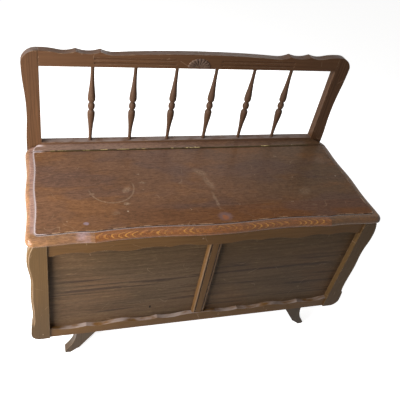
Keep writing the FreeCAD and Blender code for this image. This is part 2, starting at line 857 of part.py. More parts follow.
for side, word in SIDES:
    for end, whole, inner, lap in (
        ("front", side_front[0], side_front[1], -1),
        ("rear", side_rear[1], side_rear[0], 1),
    ):
        stile = new_body("side_stile_%s_%s" % (end, word))
        place(stile, z=case_bottom)
        pad(stile, sketch(stile, "XY_Plane", [on_side(side, rebated(whole, inner, lap))]), case_height)
        if end == "rear":
            into = size("frame_screw_length") - size("back_thickness") - size("back_panel_thickness")
            for z in frame_screw_z:
                spot = (frame_screw_x * side, case_rear, z - case_bottom)
                bore(stile, spot, frame_screw_bore, into, TURN_FORWARD)
    for end, whole, inner, lap in (
        ("top", side_top_z[1], side_top_z[0], 1),
        ("bottom", side_bottom_z[0], side_bottom_z[1], -1),
    ):
        rail = new_body("side_%s_rail_%s" % (end, word))
        place(rail, y=side_rail_y[0])
        drawing = sketch(rail, "XZ_Plane", [on_side(side, rebated(whole, inner, lap))])
        pad(rail, drawing, side_rail_y[1] - side_rail_y[0], backwards=True)
    slack = size("panel_lap") - play
    panel_y = (side_rail_y[0] - slack, side_rail_y[1] + slack)
    panel_z = (side_bottom_z[1] - slack, side_top_z[0] + slack)
    plain_board("side_panel_" + word, span(side, side_inner, side_lip), panel_y, panel_z)


# Back and bottom of the box

back_rail_x = (-side_inner, side_inner)
back_rail_y = (back_rail_front, case_rear)
plain_board("back_top_rail", back_rail_x, back_rail_y, (case_top - size("back_rail_height"), case_top))
back_bottom_rail = new_body("back_bottom_rail")
back_rail_z = (case_bottom, case_bottom + size("back_rail_height"))
block(back_bottom_rail, "AdditiveBox", back_rail_x, back_rail_y, back_rail_z)
back_panel = new_body("back_panel")
back_panel_y = (case_rear, back_front)
block(back_panel, "AdditiveBox", (-side_outer, side_outer), back_panel_y, (case_bottom, case_top))
for side, _ in SIDES:
    for z in frame_screw_z:
        spot = (frame_screw_x * side, back_front, z)
        bore(back_panel, spot, frame_screw_bore, size("back_panel_thickness"), TURN_FORWARD)

cleat_z = (case_bottom, case_bottom + size("cleat_height"))
cleat_front_y = (frame_back, frame_back + size("cleat_width"))
cleat_rear_y = (back_rail_front - size("cleat_width"), back_rail_front)
plain_board("bottom_cleat_front", back_rail_x, cleat_front_y, cleat_z)
plain_board("bottom_cleat_rear", back_rail_x, cleat_rear_y, cleat_z)
for side, word in SIDES:
    cleat_x = span(side, side_inner - size("cleat_width"), side_inner)
    plain_board("bottom_cleat_" + word, cleat_x, (cleat_front_y[1], cleat_rear_y[0]), cleat_z)
board_x = (-side_inner + play, side_inner - play)
board_y = (frame_back + play, back_rail_front - play)
plain_board("bottom_board", board_x, board_y, (cleat_z[1], cleat_z[1] + size("bottom_board_thickness")))


# Feet: four shaped boards that splay outwards, dowelled up into the bottom rails

root_outer = half_width - size("foot_root_from_end")
root_inner = root_outer - size("foot_root_width")
toe = root_outer + size("foot_toe_out")
sole_outer = toe - size("foot_toe_tip")
sole_inner = sole_outer - size("foot_sole")
foot_outline = [
    (sole_inner, ZERO),
    (sole_outer, ZERO, -size("foot_toe_bow")),
    (toe, size("foot_toe_rise"), size("foot_outer_hollow")),
    (root_outer, case_bottom),
    (root_inner, case_bottom),
    (sole_inner - size("foot_ball_run"), size("foot_ball_rise"), size("foot_ball_bow")),
]
dowel_bore = size("dowel") + size("bore_clearance") * 2
dowel_half = size("dowel_length") / 2
dowel_middle = (root_inner + root_outer) / 2 + size("dowel_outward")
dowel_bottom = case_bottom - dowel_half
dowel_spots = []
for end, foot_y, rail in (
    ("front", rail_front + size("foot_setback"), bottom_rail),
    ("rear", back_front - size("foot_rear_setback") - size("foot_thickness"), back_bottom_rail),
):
    rail_y = rail_front if end == "front" else ZERO
    for side, word in SIDES:
        foot = new_body("foot_%s_%s" % (end, word))
        place(foot, y=foot_y)
        drawing = sketch(foot, "XZ_Plane", [on_side(side, foot_outline)])
        pad(foot, drawing, size("foot_thickness"), backwards=True)
        for step in (-0.5, 0.5):
            x = (dowel_middle + size("dowel_spacing") * step) * side
            y = foot_y + size("dowel_inset")
            bore(foot, (x, size("dowel_inset"), dowel_bottom), dowel_bore, dowel_half)
            bore(rail, (x, y - rail_y, case_bottom), dowel_bore, dowel_half)
            dowel_spots.append((x, y, dowel_bottom))
fasteners("foot_dowels", dowel_spots, UPWARD, size("dowel_length"), size("dowel"))


# Back frame: two stiles, a wavy crest rail, a lower rail and the spindles between them

def back_tenon_z(low, high):
    return (low + size("tenon_shoulder"), high - size("tenon_shoulder"))


back_rails_z = {
    "crest_rail": (crest_bottom, back_top),
    "lower_back_rail": (lower_rail_bottom, lower_rail_top),
}
tenon_y = (back_tenon_y, back_tenon_y + size("tenon_thickness"))
waist = (back_outer - size("back_waist_inset"), seat_top + size("back_waist_rise"))
shoulder = (back_outer, back_top - size("back_shoulder_drop"))
stile_outline = [
    (back_inner, tail_bottom),
    (back_outer - size("back_tail_inset"), tail_bottom),
] + swaying([
    (back_outer - size("back_tail_inset"), seat_top),
    waist,
    shoulder,
]) + [
    shoulder + (-size("back_shoulder_bow"),),
    (back_outer - size("back_shoulder_width"), back_top),
    (back_inner, back_top),
]
for side, word in SIDES:
    stile = new_body("back_stile_" + word)
    place(stile, y=back_front)
    drawing = sketch(stile, "XZ_Plane", [on_side(side, stile_outline)])
    pad(stile, drawing, size("back_thickness"), backwards=True)
    tenon_x = span(side, back_inner, back_inner + size("back_tenon_length"))
    for low, high in back_rails_z.values():
        block(stile, "SubtractiveBox", tenon_x, tenon_y, back_tenon_z(low, high))
    for z in frame_screw_z:
        spot = (frame_screw_x * side, size("back_thickness"), z)
        bore(stile, spot, frame_screw_bore, size("back_thickness"), TURN_FORWARD)
        countersink(stile, spot, frame_screw_sink, frame_screw_bore, TURN_FORWARD)
fasteners(
    "back_frame_screws", [(frame_screw_x * side, back_rear, z) for side, _ in SIDES for z in frame_screw_z],
    FORWARD, size("frame_screw_length"), size("frame_screw"), size("frame_screw_head"),
)


def flute(body, side, number):
    """One of the two round-bottomed grooves along the crest rail on each side of the shell."""
    width = size("flute_width")
    depth = size("flute_depth")
    radius = (width * width / 4 + depth * depth) / (depth * 2)
    y = depth - radius
    z = back_top - size("flute_drop") - size("flute_pitch") * number
    ends = span(side, size("flute_inner_end") + width / 2, size("flute_outer_end") - width / 2)
    bore(body, (ends[0], y, z), radius * 2, ends[1] - ends[0], TURN_ALONG_X)
    for x in ends:
        hollow(body, (x, y, z), radius * 2)


crest = new_body("crest_rail")
crest_turn = (back_inner - size("crest_turn_from_stile"), back_top - size("crest_turn_drop"))
crest_outline = mirrored([
    (back_inner, crest_bottom),
    (back_inner, back_top, -size("crest_end_bow")),
    crest_turn + (size("crest_end_hollow"),),
    (back_inner - size("crest_cusp_from_stile"), back_top, size("crest_cusp_hollow")),
    (back_inner - size("crest_inner_cusp_from_stile"), back_top, size("crest_inner_hollow")),
    (back_inner - size("crest_arc_from_stile"), back_top - size("crest_bow"), -size("crest_bow")),
])
pad(crest, sketch(crest, "XZ_Plane", [crest_outline]), size("back_thickness"), backwards=True)
for side, _ in SIDES:
    for number in range(FLUTES):
        flute(crest, side, number)
lower = new_body("lower_back_rail")
lower_y = (ZERO, size("lower_rail_thickness"))
block(lower, "AdditiveBox", (-back_inner, back_inner), lower_y, back_rails_z["lower_back_rail"])
for rail in (crest, lower):
    place(rail, y=back_front)
    for side, _ in SIDES:
        tenon_x = span(side, back_inner, back_inner + size("back_tenon_length"))
        block(rail, "AdditiveBox", tenon_x, tenon_y, back_tenon_z(*back_rails_z[rail.Label]))

# Turned spindles: a bead between two necks and two swellings that taper to the ends

bead_z = lower_rail_top + size("spindle_bead_height")
upper_end = crest_bottom - bead_z
spindle_inset = size("lower_rail_thickness") / 2
spindle_bore = size("spindle_tenon") + size("bore_clearance") * 2


def spindle_half(length, way):
    """The outline from the bead to the tenon, going up (+1), or the same going down (-1)."""
    corners = [
        (size("spindle_neck"), size("spindle_bead_half")),
        (size("spindle_neck"), size("spindle_neck_from_bead"), -size("spindle_neck_bow")),
        (size("spindle_swell"), size("spindle_swell_from_bead"), -size("spindle_swell_bow")),
        (size("spindle_taper"), size("spindle_taper_from_bead"), size("spindle_taper_hollow")),
        (size("spindle_end"), length - size("spindle_end_length")),
        (size("spindle_end"), length),
        (size("spindle_tenon"), length),
        (size("spindle_tenon"), length + size("spindle_tenon_length")),
        (ZERO, length + size("spindle_tenon_length")),
    ]
    if way > 0:
        return [(across / 2, along) + tuple(bulge) for across, along, *bulge in corners]
    turned = []
    for number in range(len(corners) - 1, -1, -1):
        edge = corners[number - 1][2:] if number else (-size("spindle_bead_bow"),)
        turned.append((corners[number][0] / 2, -corners[number][1]) + tuple(edge))
    return turned


for number in range(SPINDLES):
    x = size("spindle_spacing") * centred(number, SPINDLES)
    spindle = new_body("spindle_%d" % (number + 1))
    place(spindle, x=x, y=back_front + spindle_inset, z=bead_z)
    outline = spindle_half(size("spindle_bead_height"), -1) + spindle_half(upper_end, 1)
    drawing = sketch(spindle, "XZ_Plane", [outline])
    turned = spindle.newObject("PartDesign::Revolution", "Turned")
    turned.Profile = drawing
    turned.ReferenceAxis = (drawing, ["V_Axis"])
    turned.Angle = 360
    depth = size("spindle_tenon_length")
    bore(lower, (x, spindle_inset, lower_rail_top - depth), spindle_bore, depth)
    bore(crest, (x, spindle_inset, crest_bottom), spindle_bore, depth)


# Shell carving: round lobes that fan out from one point, cut flat where they lie on the crest

shell_root_z = crest_bottom + size("shell_rise")
lobes = []
for number in range(SHELL_LOBES):
    lean = size("shell_fan") * (2 * centred(number, SHELL_LOBES) / (SHELL_LOBES - 1))
    turn = FreeCAD.Rotation(FreeCAD.Vector(0, 1, 0), lean.value)
    share = abs(lean.value) / size("shell_fan").value
    reach = size("shell_height") + (size("shell_reach") - size("shell_height")) * share - size("shell_lobe")
    ray = doc.addObject("Part::Cone", "Ray")
    bind(ray, "Radius1", size("shell_root"))
    bind(ray, "Radius2", size("shell_lobe"))
    bind(ray, "Height", reach)
    ray.Placement = FreeCAD.Placement(FreeCAD.Vector(), turn)
    place(ray, y=back_front + size("shell_sink"), z=shell_root_z)
    tip = doc.addObject("Part::Sphere", "Lobe")
    bind(tip, "Radius", size("shell_lobe"))
    across = turn.multVec(UPWARD)
    place(tip, reach * across.x, back_front + size("shell_sink"), shell_root_z + reach * across.z)
    lobes += [ray, tip]
fan = doc.addObject("Part::MultiFuse", "Fan")
fan.Shapes = lobes
mould = doc.addObject("Part::Box", "Mould")
bind(mould, "Length", size("shell_reach") * 2)
bind(mould, "Width", size("shell_lobe"))
bind(mould, "Height", size("shell_height"))
place(mould, -size("shell_reach"), back_front - size("shell_lobe"), shell_root_z)
shell = doc.addObject("Part::Common", "Shell")
shell.Label = "shell_carving"
shell.Base = fan
shell.Tool = mould
sub_parts.append(shell)


# Check every object and write one file for each sub-part

doc.recompute()
faults = ["%s of %s" % (item.Name, item.getParent() and item.getParent().Label or item.Label)
          for item in doc.Objects if "Invalid" in item.State or "Error" in item.State]
faults += [item.Label for item in sub_parts if item.Shape.isNull() or not item.Shape.isValid()]
if faults:
    raise RuntimeError("not built: " + ", ".join(faults))
os.makedirs("parts", exist_ok=True)
for item in sub_parts:
    item.Shape.exportStep("parts/%s.step" % item.Label)
    solids = item.Shape.Solids
    print("%-26s %2d solids %9.1f cm3" % (item.Label, len(solids), item.Shape.Volume / 1000))
print(len(sub_parts), "sub-parts")
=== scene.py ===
import math

import bpy
from mathutils import Matrix, Vector


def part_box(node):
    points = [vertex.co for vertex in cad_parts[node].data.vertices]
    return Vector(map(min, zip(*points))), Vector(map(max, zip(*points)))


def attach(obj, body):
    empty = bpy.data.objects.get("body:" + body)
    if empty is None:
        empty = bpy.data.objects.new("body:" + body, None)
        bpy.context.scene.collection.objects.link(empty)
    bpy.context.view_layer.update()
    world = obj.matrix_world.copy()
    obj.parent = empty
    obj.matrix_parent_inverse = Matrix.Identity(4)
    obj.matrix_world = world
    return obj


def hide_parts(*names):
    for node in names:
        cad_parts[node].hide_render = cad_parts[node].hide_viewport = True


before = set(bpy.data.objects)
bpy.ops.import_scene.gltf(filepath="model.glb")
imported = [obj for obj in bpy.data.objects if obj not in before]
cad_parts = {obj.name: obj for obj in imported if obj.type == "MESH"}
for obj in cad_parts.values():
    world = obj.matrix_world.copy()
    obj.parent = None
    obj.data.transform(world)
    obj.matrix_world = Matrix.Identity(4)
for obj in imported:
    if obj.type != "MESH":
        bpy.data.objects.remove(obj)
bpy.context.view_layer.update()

bl_info = {
    "name": "Settle bench",
    "version": (1, 0, 0),
    "blender": (4, 5, 0),
    "location": "3D View > Sidebar > Settle",
    "description": "Finishes of an oak settle bench with a hinged lid, its screws, dowels and shell carving",
    "category": "Object",
}

SEAT_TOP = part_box("lid_board")[1].z


def paint(red, green, blue):
    """A colour as it shows on a screen, 0 to 255, as the light values that a shader takes."""
    shares = (channel / 255 for channel in (red, green, blue))
    return tuple(s / 12.92 if s <= 0.04045 else ((s + 0.055) / 1.055) ** 2.4 for s in shares)


# Sizes and colours that can be changed


def colour(name, description, default):
    return bpy.props.FloatVectorProperty(
        name=name, description=description, default=default, subtype="COLOR", size=3, min=0, max=1
    )


def length(name, description, default):
    return bpy.props.FloatProperty(
        name=name, description=description, default=default, subtype="DISTANCE", unit="LENGTH",
        min=0, precision=5,
    )


def share(name, description, default):
    return bpy.props.FloatProperty(
        name=name, description=description, default=default, subtype="FACTOR", min=0, max=1
    )


class SettleColours(bpy.types.PropertyGroup):
    """Colours of the bench's finishes"""

    lid: colour("Lid", "Varnished oak of the seat", paint(115, 82, 60))
    lid_right: colour("Lid at the right", "Browner oak at the right of the seat", paint(106, 80, 58))
    lid_under: colour("Lid underside", "Thinly varnished underside of the lid", paint(126, 94, 68))
    lid_front: colour("Lid front board", "Redder board along the front of the lid", paint(112, 71, 40))
    nosing: colour("Nosing", "Moulded edge of the seat", paint(144, 103, 72))
    nosing_right_shade: colour("Nosing at the right", "Darker nosing past the right cusp", paint(114, 76, 38))
    # The darker nosing past the right cusp is painted shade.
    nosing_middle: colour("Nosing middle", "Darker ground of the nosing's flame grain", paint(142, 87, 42))
    nosing_flame: colour("Nosing flame", "Bright arcs in the nosing's grain", paint(196, 138, 62))
    rail: colour("Rails", "Rails and muntin of the front", paint(114, 82, 48))
    stile: colour("Stiles", "Front stiles", paint(100, 76, 48))
    lower_rail: colour("Lower back rail", "Lower rail of the back", paint(108, 80, 62))
    panel: colour("Panels", "Front and side panels", paint(104, 84, 65))
    panel_top: colour("Panel tops", "Greener brown at the top of the front panels", paint(98, 77, 55))
    side: colour("Sides", "Stiles and rails of the box's sides", paint(104, 78, 54))
    back: colour("Back frame", "Crest rail and stiles of the back", paint(98, 69, 48))
    turned: colour("Spindles", "Turned spindles", paint(92, 68, 52))
    carving: colour("Carving", "Shell carving", paint(104, 84, 72))
    foot: colour("Feet", "Splayed feet", paint(92, 74, 56))
    softwood: colour("Softwood", "Bare pine inside the box", paint(205, 172, 128))
    plywood: colour("Plywood", "Bare plywood of the bottom and the back", paint(192, 160, 118))
    beech: colour("Beech", "Dowels of the feet", paint(214, 184, 146))
    brass: colour("Brass", "Dull brass of the hinge", paint(186, 166, 112))
    steel: colour("Steel", "Screws of the battens and the back frame", paint(150, 148, 144))
    # The worn colour also paints highlights along the arrises and on the muntin's beads.
    worn: colour("Worn edges", "Pale wood where the varnish has gone", paint(188, 158, 128))
    # The wax and dust colour also paints the pale sheen of the light on what faces up.
    dust_and_sheen: colour("Wax and dust", "Grey wax in the lid's groove and dust on ledges", paint(172, 160, 156))
    backdrop: colour("Floor", "Pale floor of the stage", (0.95, 0.95, 0.95))


class SettleSizes(bpy.types.PropertyGroup):
    """Sizes of what the scene adds to the bench"""

    # The arris reach also sets the width of the painted highlight along the edges.
    arris: length("Arris", "Reach of the wear along the edges of the boards", 0.0022)
    # The wax line reach also sets the reach of the painted shade in hollows and of the painted highlight on
    # the lid's groove arris.
    wax_and_shade_reach: length("Wax line", "Reach of the wax in hollows and beside the lid's groove", 0.0055)
    ring_mark: length("Ring mark", "Radius of the round stain on the lid", 0.0606)
    screw_slot: length("Screw slot", "Width of the slot in a screw's head", 0.0008)
    thread_pitch: length("Thread pitch", "Distance between the turns of a screw's thread", 0.0016)
    dowel_flute: length("Dowel flute", "Depth of the flutes along a dowel", 0.00025)
    shell_relief: length("Shell relief", "Height of the shell's lobes above the crest rail", 0.0038)
    shell_lobes: bpy.props.IntProperty(
        name="Shell lobes", description="Number of lobes that fan out in the shell", default=9, min=5, max=15
    )
    dowel_pitch: length("Dowel pitch", "Distance between the two dowels of a foot", 0.026)
    varnish: share("Varnish", "How much of a clear coat lies on the oak", 0.04)


def tint(word):
    return getattr(bpy.context.scene.settle_colours, word)


def size(word):
    return getattr(bpy.context.scene.settle_sizes, word)


# Short ways to build a tree of nodes


def opaque(colour):
    """A colour with its alpha; another node's output stays as it is."""
    return colour if isinstance(colour, bpy.types.NodeSocket) else (*colour[:3], 1.0)


class Nodes:
    """The nodes of one tree, written as sums over their outputs."""

    def __init__(self, tree, owner=None):
        self.tree = tree
        self.owner = owner

    def add(self, kind, inputs=(), **settings):
        """A node with its settings; each input is a number, a colour or another node's output."""
        node = self.tree.nodes.new(kind)
        for word, value in settings.items():
            setattr(node, word, value)
        for key, value in dict(inputs).items():
            if isinstance(value, bpy.types.NodeSocket):
                self.tree.links.new(value, node.inputs[key])
            else:
                node.inputs[key].default_value = value
        return node

    def math(self, operation, *values, clamped=False):
        inputs = enumerate(values)
        return self.add("ShaderNodeMath", inputs, operation=operation, use_clamp=clamped).outputs[0]

    def times(self, product, *others):
        for value in others:
            product = self.math("MULTIPLY", product, value)
        return product

    def plus(self, first, second):
        return self.math("ADD", first, second)

    def minus(self, first, second):
        return self.math("SUBTRACT", first, second)

    def apart(self, first, second):
        """How far two values lie apart."""
        return self.math("ABSOLUTE", self.minus(first, second))

    def cycle(self, value, period):
        """How much of its latest period the value has run through, from 0 to 1."""
        return self.math("FRACT", self.math("DIVIDE", value, period))

    def vector(self, operation, *values):
        outputs = self.add("ShaderNodeVectorMath", enumerate(values), operation=operation).outputs
        return outputs["Value" if operation in ("LENGTH", "DOT_PRODUCT") else "Vector"]

    def split(self, vector):
        return self.add("ShaderNodeSeparateXYZ", {0: vector}).outputs

    def join(self, x, y, z):
        return self.add("ShaderNodeCombineXYZ", {0: x, 1: y, 2: z}).outputs[0]

    def normal(self):
        """The way the surface faces on its own piece, which is the same in every pose."""
        return self.add("ShaderNodeTexCoord").outputs["Normal"]

    def step(self, value, low, high):
        """0 below low and 1 above high, with a smooth rise between; low may be the higher one."""
        inputs = {"Value": value, "From Min": low, "From Max": high}
        return self.add("ShaderNodeMapRange", inputs, interpolation_type="SMOOTHSTEP").outputs[0]

    def range(self, value, low, high, new_low, new_high):
        inputs = {"Value": value, "From Min": low, "From Max": high, "To Min": new_low, "To Max": new_high}
        return self.add("ShaderNodeMapRange", inputs).outputs[0]

    def mix(self, amount, first, second, blend="MIX"):
        inputs = {0: amount, 6: opaque(first), 7: opaque(second)}
        return self.add("ShaderNodeMix", inputs, data_type="RGBA", blend_type=blend).outputs[2]

    def over(self, base, colour, *masks):
        """The base with a colour laid over it as far as the product of the masks says."""
        return self.mix(self.times(*masks), base, colour)

    def lit(self, base, light):
        """The base made lighter or darker by a factor."""
        return self.mix(1.0, base, self.join(light, light, light), "MULTIPLY")

    def noise(self, place, scale, detail=2.0, roughness=0.5, distortion=0.0):
        """Noise from 0 to 1 about 0.5, whose scale is given along each axis in waves a metre."""
        inputs = {
            "Vector": self.vector("MULTIPLY", place, scale), "Scale": 1.0, "Detail": detail,
            "Roughness": roughness, "Distortion": distortion,
        }
        return self.add("ShaderNodeTexNoise", inputs).outputs[0]

    def patches(self, place, scale, low, high, detail=2.0, roughness=0.5):
        """1 in soft patches, where the noise is above high, and 0 where it is below low."""
        return self.step(self.noise(place, scale, detail, roughness), low, high)


def cleared(owner):
    """The nodes of a new material or world, with none in it yet."""
    owner.use_nodes = True
    owner.node_tree.nodes.clear()
    return Nodes(owner.node_tree, owner)


def new_material(name):
    """The nodes of a new material, and the place on the piece that they colour."""
    s = cleared(bpy.data.materials.new(name))
    return s, s.add("ShaderNodeTexCoord").outputs["Object"]


def new_socket(tree, name, way, kind):
    return tree.interface.new_socket(name, in_out=way, socket_type="NodeSocket" + kind)


# Wood: a solid grain, cut by each piece's own shape


def wood_grain():
    """The grain of a board along X: rings round a heart line, streaks, pores and patches."""
    made = bpy.data.node_groups.get("wood grain")
    if made:
        return made
    tree = bpy.data.node_groups.new("wood grain", "ShaderNodeTree")
    for name in ("Place", "Heart"):
        new_socket(tree, name, "INPUT", "Vector")
    for name in ("Ring width", "Bend", "Wander"):
        new_socket(tree, name, "INPUT", "Float")
    for name in ("Rings", "Streaks", "Pores", "Patches"):
        new_socket(tree, name, "OUTPUT", "Float")
    given = tree.nodes.new("NodeGroupInput").outputs
    s = Nodes(tree)
    place = given["Place"]
    x, y, z = s.split(s.vector("SUBTRACT", place, given["Heart"]))
    radius = s.vector("LENGTH", s.join(0.0, y, z))
    bent = s.plus(radius, s.times(x, x, given["Bend"]))
    slow = s.minus(s.noise(place, (1.6, 9, 9)), 0.5)
    slow = s.times(slow, s.times(given["Wander"], 2.0))
    fine = s.minus(s.noise(place, (12, 110, 110), 3), 0.5)
    fine = s.times(fine, s.times(given["Ring width"], 1.1))
    phase = s.cycle(s.plus(bent, s.plus(slow, fine)), given["Ring width"])
    broad = s.noise(place, (2.6, 95, 95), 4, 0.62)
    narrow = s.noise(place, (9, 330, 330), 3, 0.6)
    pores = s.patches(place, (110, 1300, 1300), 0.6, 0.74)
    s.add("NodeGroupOutput", {
        "Rings": s.minus(s.step(phase, 0.35, 0.9), s.step(phase, 0.9, 1.0)),
        "Streaks": s.plus(s.times(broad, 0.55), s.times(narrow, 0.45)),
        "Pores": s.times(pores, s.range(phase, 0, 0.6, 1.0, 0.45)),
        "Patches": s.noise(place, (2.2, 7, 7), 3),
    })
    return tree


def grain_of(s, place, grain, heart, ring, bend=0.0, wander=0.01):
    """The grain of a board that runs along x, y or z; its heart line is given as if along X."""
    x, y, z = s.split(place)
    turned = {"x": place, "y": s.join(y, x, z), "z": s.join(z, y, x)}[grain]
    inputs = {"Place": turned, "Heart": heart, "Ring width": ring, "Bend": bend, "Wander": wander}
    return s.add("ShaderNodeGroup", inputs, node_tree=wood_grain()).outputs


def edge_wear_and_highlight(s, reach):
    """1 on the arrises and in the corners of a piece, 0 on its flats."""
    rounded = s.add("ShaderNodeBevel", {"Radius": reach}, samples=6).outputs[0]
    flat = s.add("ShaderNodeNewGeometry").outputs["Normal"]
    return s.step(s.vector("DOT_PRODUCT", rounded, flat), 0.985, 0.8)


def occlusion(s, reach, inside=False):
    """How open a place is, from 0 in a deep corner to 1; inside, 0 is a sharp arris instead."""
    kind, settings = "ShaderNodeAmbientOcclusion", {"samples": 8, "only_local": True, "inside": inside}
    return s.add(kind, {"Distance": reach}, **settings).outputs["AO"]


def finish(s, base, roughness, height, **settings):
    """Ends a material: its shader takes a colour, a roughness and a height in millimetres."""
    bump = s.add("ShaderNodeBump", {"Height": height, "Distance": 0.001, "Strength": 0.7})
    inputs = {"Base Color": base, "Roughness": roughness, "Normal": bump.outputs[0]}
    shader = s.add("ShaderNodeBsdfPrincipled", {**inputs, "Specular IOR Level": 0.06, **settings})
    s.add("ShaderNodeOutputMaterial", {"Surface": shader.outputs[0]})
    return s.owner


def grained(s, base, grain, figure, dark=0.5, light=1.5):
    """A colour that follows the rings, streaks, pores and patches of the grain."""
    deep = s.mix(1.0, base, (dark, dark * 0.95, dark * 0.9), "MULTIPLY")
    pale = s.mix(1.0, base, (light, light * 0.98, light * 0.94), "MULTIPLY")
    base = s.over(base, deep, grain["Rings"], figure * 0.5)
    base = s.over(base, pale, s.step(grain["Streaks"], 0.5, 0.68), figure)
    base = s.over(base, deep, s.step(grain["Streaks"], 0.49, 0.34), figure)
    base = s.over(base, deep, grain["Pores"], 0.45)
    return s.lit(base, s.range(grain["Patches"], 0.3, 0.7, 0.86, 1.14))


def worn_and_lit_edges(s, base, place, amount):
    """Pale arrises: varnish rubbed off by hands and cloths, and a painted highlight along the edges."""
    rubbed = s.patches(place, (60, 60, 60), 0.4, 0.68, 4, 0.65)
    wear_and_highlight = s.times(edge_wear_and_highlight(s, size("arris")), rubbed, amount)
    return s.mix(wear_and_highlight, base, tint("worn")), wear_and_highlight


def hair_scratches(s, place, scale, fineness=0.006):
    """Thin curved lines, each a level of a slow noise, broken up by a second one."""
    level = s.apart(s.noise(place, scale, 1, distortion=0.4), 0.5)
    return s.times(s.step(level, fineness, 0.0), s.patches(place, (31, 27, 29), 0.52, 0.62))


def nicks(s, place, spacing, rarity=0.16):
    """Small pale dents, about one in each few cells."""
    cells = s.add("ShaderNodeTexVoronoi", {"Vector": place, "Scale": spacing}).outputs
    luck, width, _ = s.split(cells["Color"])
    near = s.math("DIVIDE", cells["Distance"], s.range(width, 0, 1, 0.03, 0.09))
    return s.times(s.step(near, 1.0, 0.6), s.step(luck, rarity, rarity - 0.01))


def hollow_wax_and_shade(s, base):
    """Darkening in the grooves and corners of a piece: painted shade where little light reaches, which also
    stands for old wax.
    """
    # Painted shade: occluded hollows and corners are darkened.
    deep = s.step(occlusion(s, size("wax_and_shade_reach")), 0.92, 0.6)
    return s.over(base, paint(34, 22, 16), deep, 0.75)


def dust_and_ledge_sheen(s, base, place, amount):
    """Grey wax and dust in patches on what faces up, which also lay a painted sheen of the light on ledges
    and tops.
    """
    # Painted sheen, with dust: faces that point up are paled.
    up = s.step(s.split(s.normal())[2], 0.5, 0.95)
    return s.over(base, tint("dust_and_sheen"), up, s.patches(place, (24, 60, 60), 0.3, 0.6, 3), amount)


def moulding_line(s, base, place):
    """The pale line where a stile's moulding leaves its flat face, and its slanting lower stop."""
    across, forward, up = s.split(s.normal())
    lean = s.math("ABSOLUTE", across)
    start = s.times(s.step(lean, 0.03, 0.08), s.step(lean, 0.36, 0.28), s.step(forward, -0.6, -0.8))
    stop = s.times(s.step(up, 0.25, 0.45), s.step(lean, 0.25, 0.45))
    rubbed = s.patches(place, (50, 50, 14), 0.3, 0.55, 3)
    return s.over(base, tint("worn"), s.math("MAXIMUM", start, stop), rubbed, 0.6)


# How far the muntin's grooves and beads lie from its middle
MUNTIN_GROOVE = 0.0104
MUNTIN_BEAD = 0.0146


def bead_lines(s, base, place):
    """The muntin's two grooves darkened, painted shade with old wax in them, and its beads paler, painted
    highlight with rubbed tops.
    """
    aside = s.math("ABSOLUTE", s.split(place)[0])
    # Painted highlight, with rubbed varnish, pales the beads.
    bead_highlight = s.step(s.apart(aside, MUNTIN_BEAD), 0.0022, 0.0008)
    base = s.over(base, tint("worn"), bead_highlight, 0.35)
    # Painted shade, with old wax, darkens the two grooves.
    groove = s.step(s.apart(aside, MUNTIN_GROOVE), 0.0026, 0.0012)
    return s.over(base, paint(38, 24, 16), groove, 0.85)


def varnished(name, base, heart, grain="x", ring=0.004, wander=0.012, figure=0.5, wear_and_highlight=0.6,
              dark=0.62, dust_and_sheen_share=0.25, moulded=False, beaded=False):
    """Varnished oak for a plain piece, with its grain along the axis given."""
    s, place = new_material(name)
    rings = grain_of(s, place, grain, heart, ring, wander=wander)
    base = grained(s, base, rings, figure, dark, 1.3)
    scratch = hair_scratches(s, place, (9, 9, 9))
    base = s.over(base, tint("worn"), scratch, 0.3)
    base = s.over(base, tint("worn"), nicks(s, place, 22.0), 0.5)
    base = dust_and_ledge_sheen(s, base, place, dust_and_sheen_share)
    if moulded:
        base = moulding_line(s, base, place)
    if beaded:
        base = bead_lines(s, base, place)
    base, rubbed = worn_and_lit_edges(s, hollow_wax_and_shade(s, base), place, wear_and_highlight)
    dull = s.times(s.plus(rings["Pores"], rubbed), 0.18)
    rough = s.plus(s.range(rings["Patches"], 0.3, 0.7, 0.36, 0.5), dull)
    relief = s.plus(s.times(rings["Pores"], -0.1), s.times(rings["Rings"], -0.03))
    height = s.plus(relief, s.times(scratch, -0.05))
    coat = {"Coat Weight": size("varnish"), "Coat Roughness": 0.3}
    return finish(s, base, rough, height, **coat)


def bare_wood(name, base, grain, heart, ring, figure=0.55):
    """Planed wood without varnish."""
    s, place = new_material(name)
    rings = grain_of(s, place, grain, heart, ring)
    base = grained(s, base, rings, figure, 0.66, 1.12)
    base = s.over(base, paint(128, 104, 80), s.patches(place, (6, 6, 6), 0.45, 0.75, 4), 0.25)
    rough = s.range(rings["Streaks"], 0.2, 0.8, 0.62, 0.78)
    height = s.plus(s.times(rings["Rings"], 0.05), s.times(s.noise(place, (400, 60, 60)), 0.04))
    return finish(s, base, rough, height)


PLIES = 0.0032


def plywood(name, axis):
    """Plywood: a streaky face veneer across the axis 0, 1 or 2, and light and dark plies on its edges."""
    s, place = new_material(name)
    rings = grain_of(s, place, "x", (0, 0.05, -0.02), 0.009, wander=0.03)
    face = grained(s, tint("plywood"), rings, 0.5, 0.72, 1.1)
    ply = s.cycle(s.split(place)[axis], PLIES)
    plies = s.mix(s.step(ply, 0.45, 0.55), tint("plywood"), paint(140, 104, 70))
    on_edge = s.step(s.math("ABSOLUTE", s.split(s.normal())[axis]), 0.7, 0.4)
    rough = s.range(rings["Streaks"], 0.2, 0.8, 0.66, 0.8)
    return finish(s, s.mix(on_edge, face, plies), rough, s.times(rings["Pores"], -0.06))


# Marks of use on top of the lid: middle, half length, half width, turn in degrees and strength

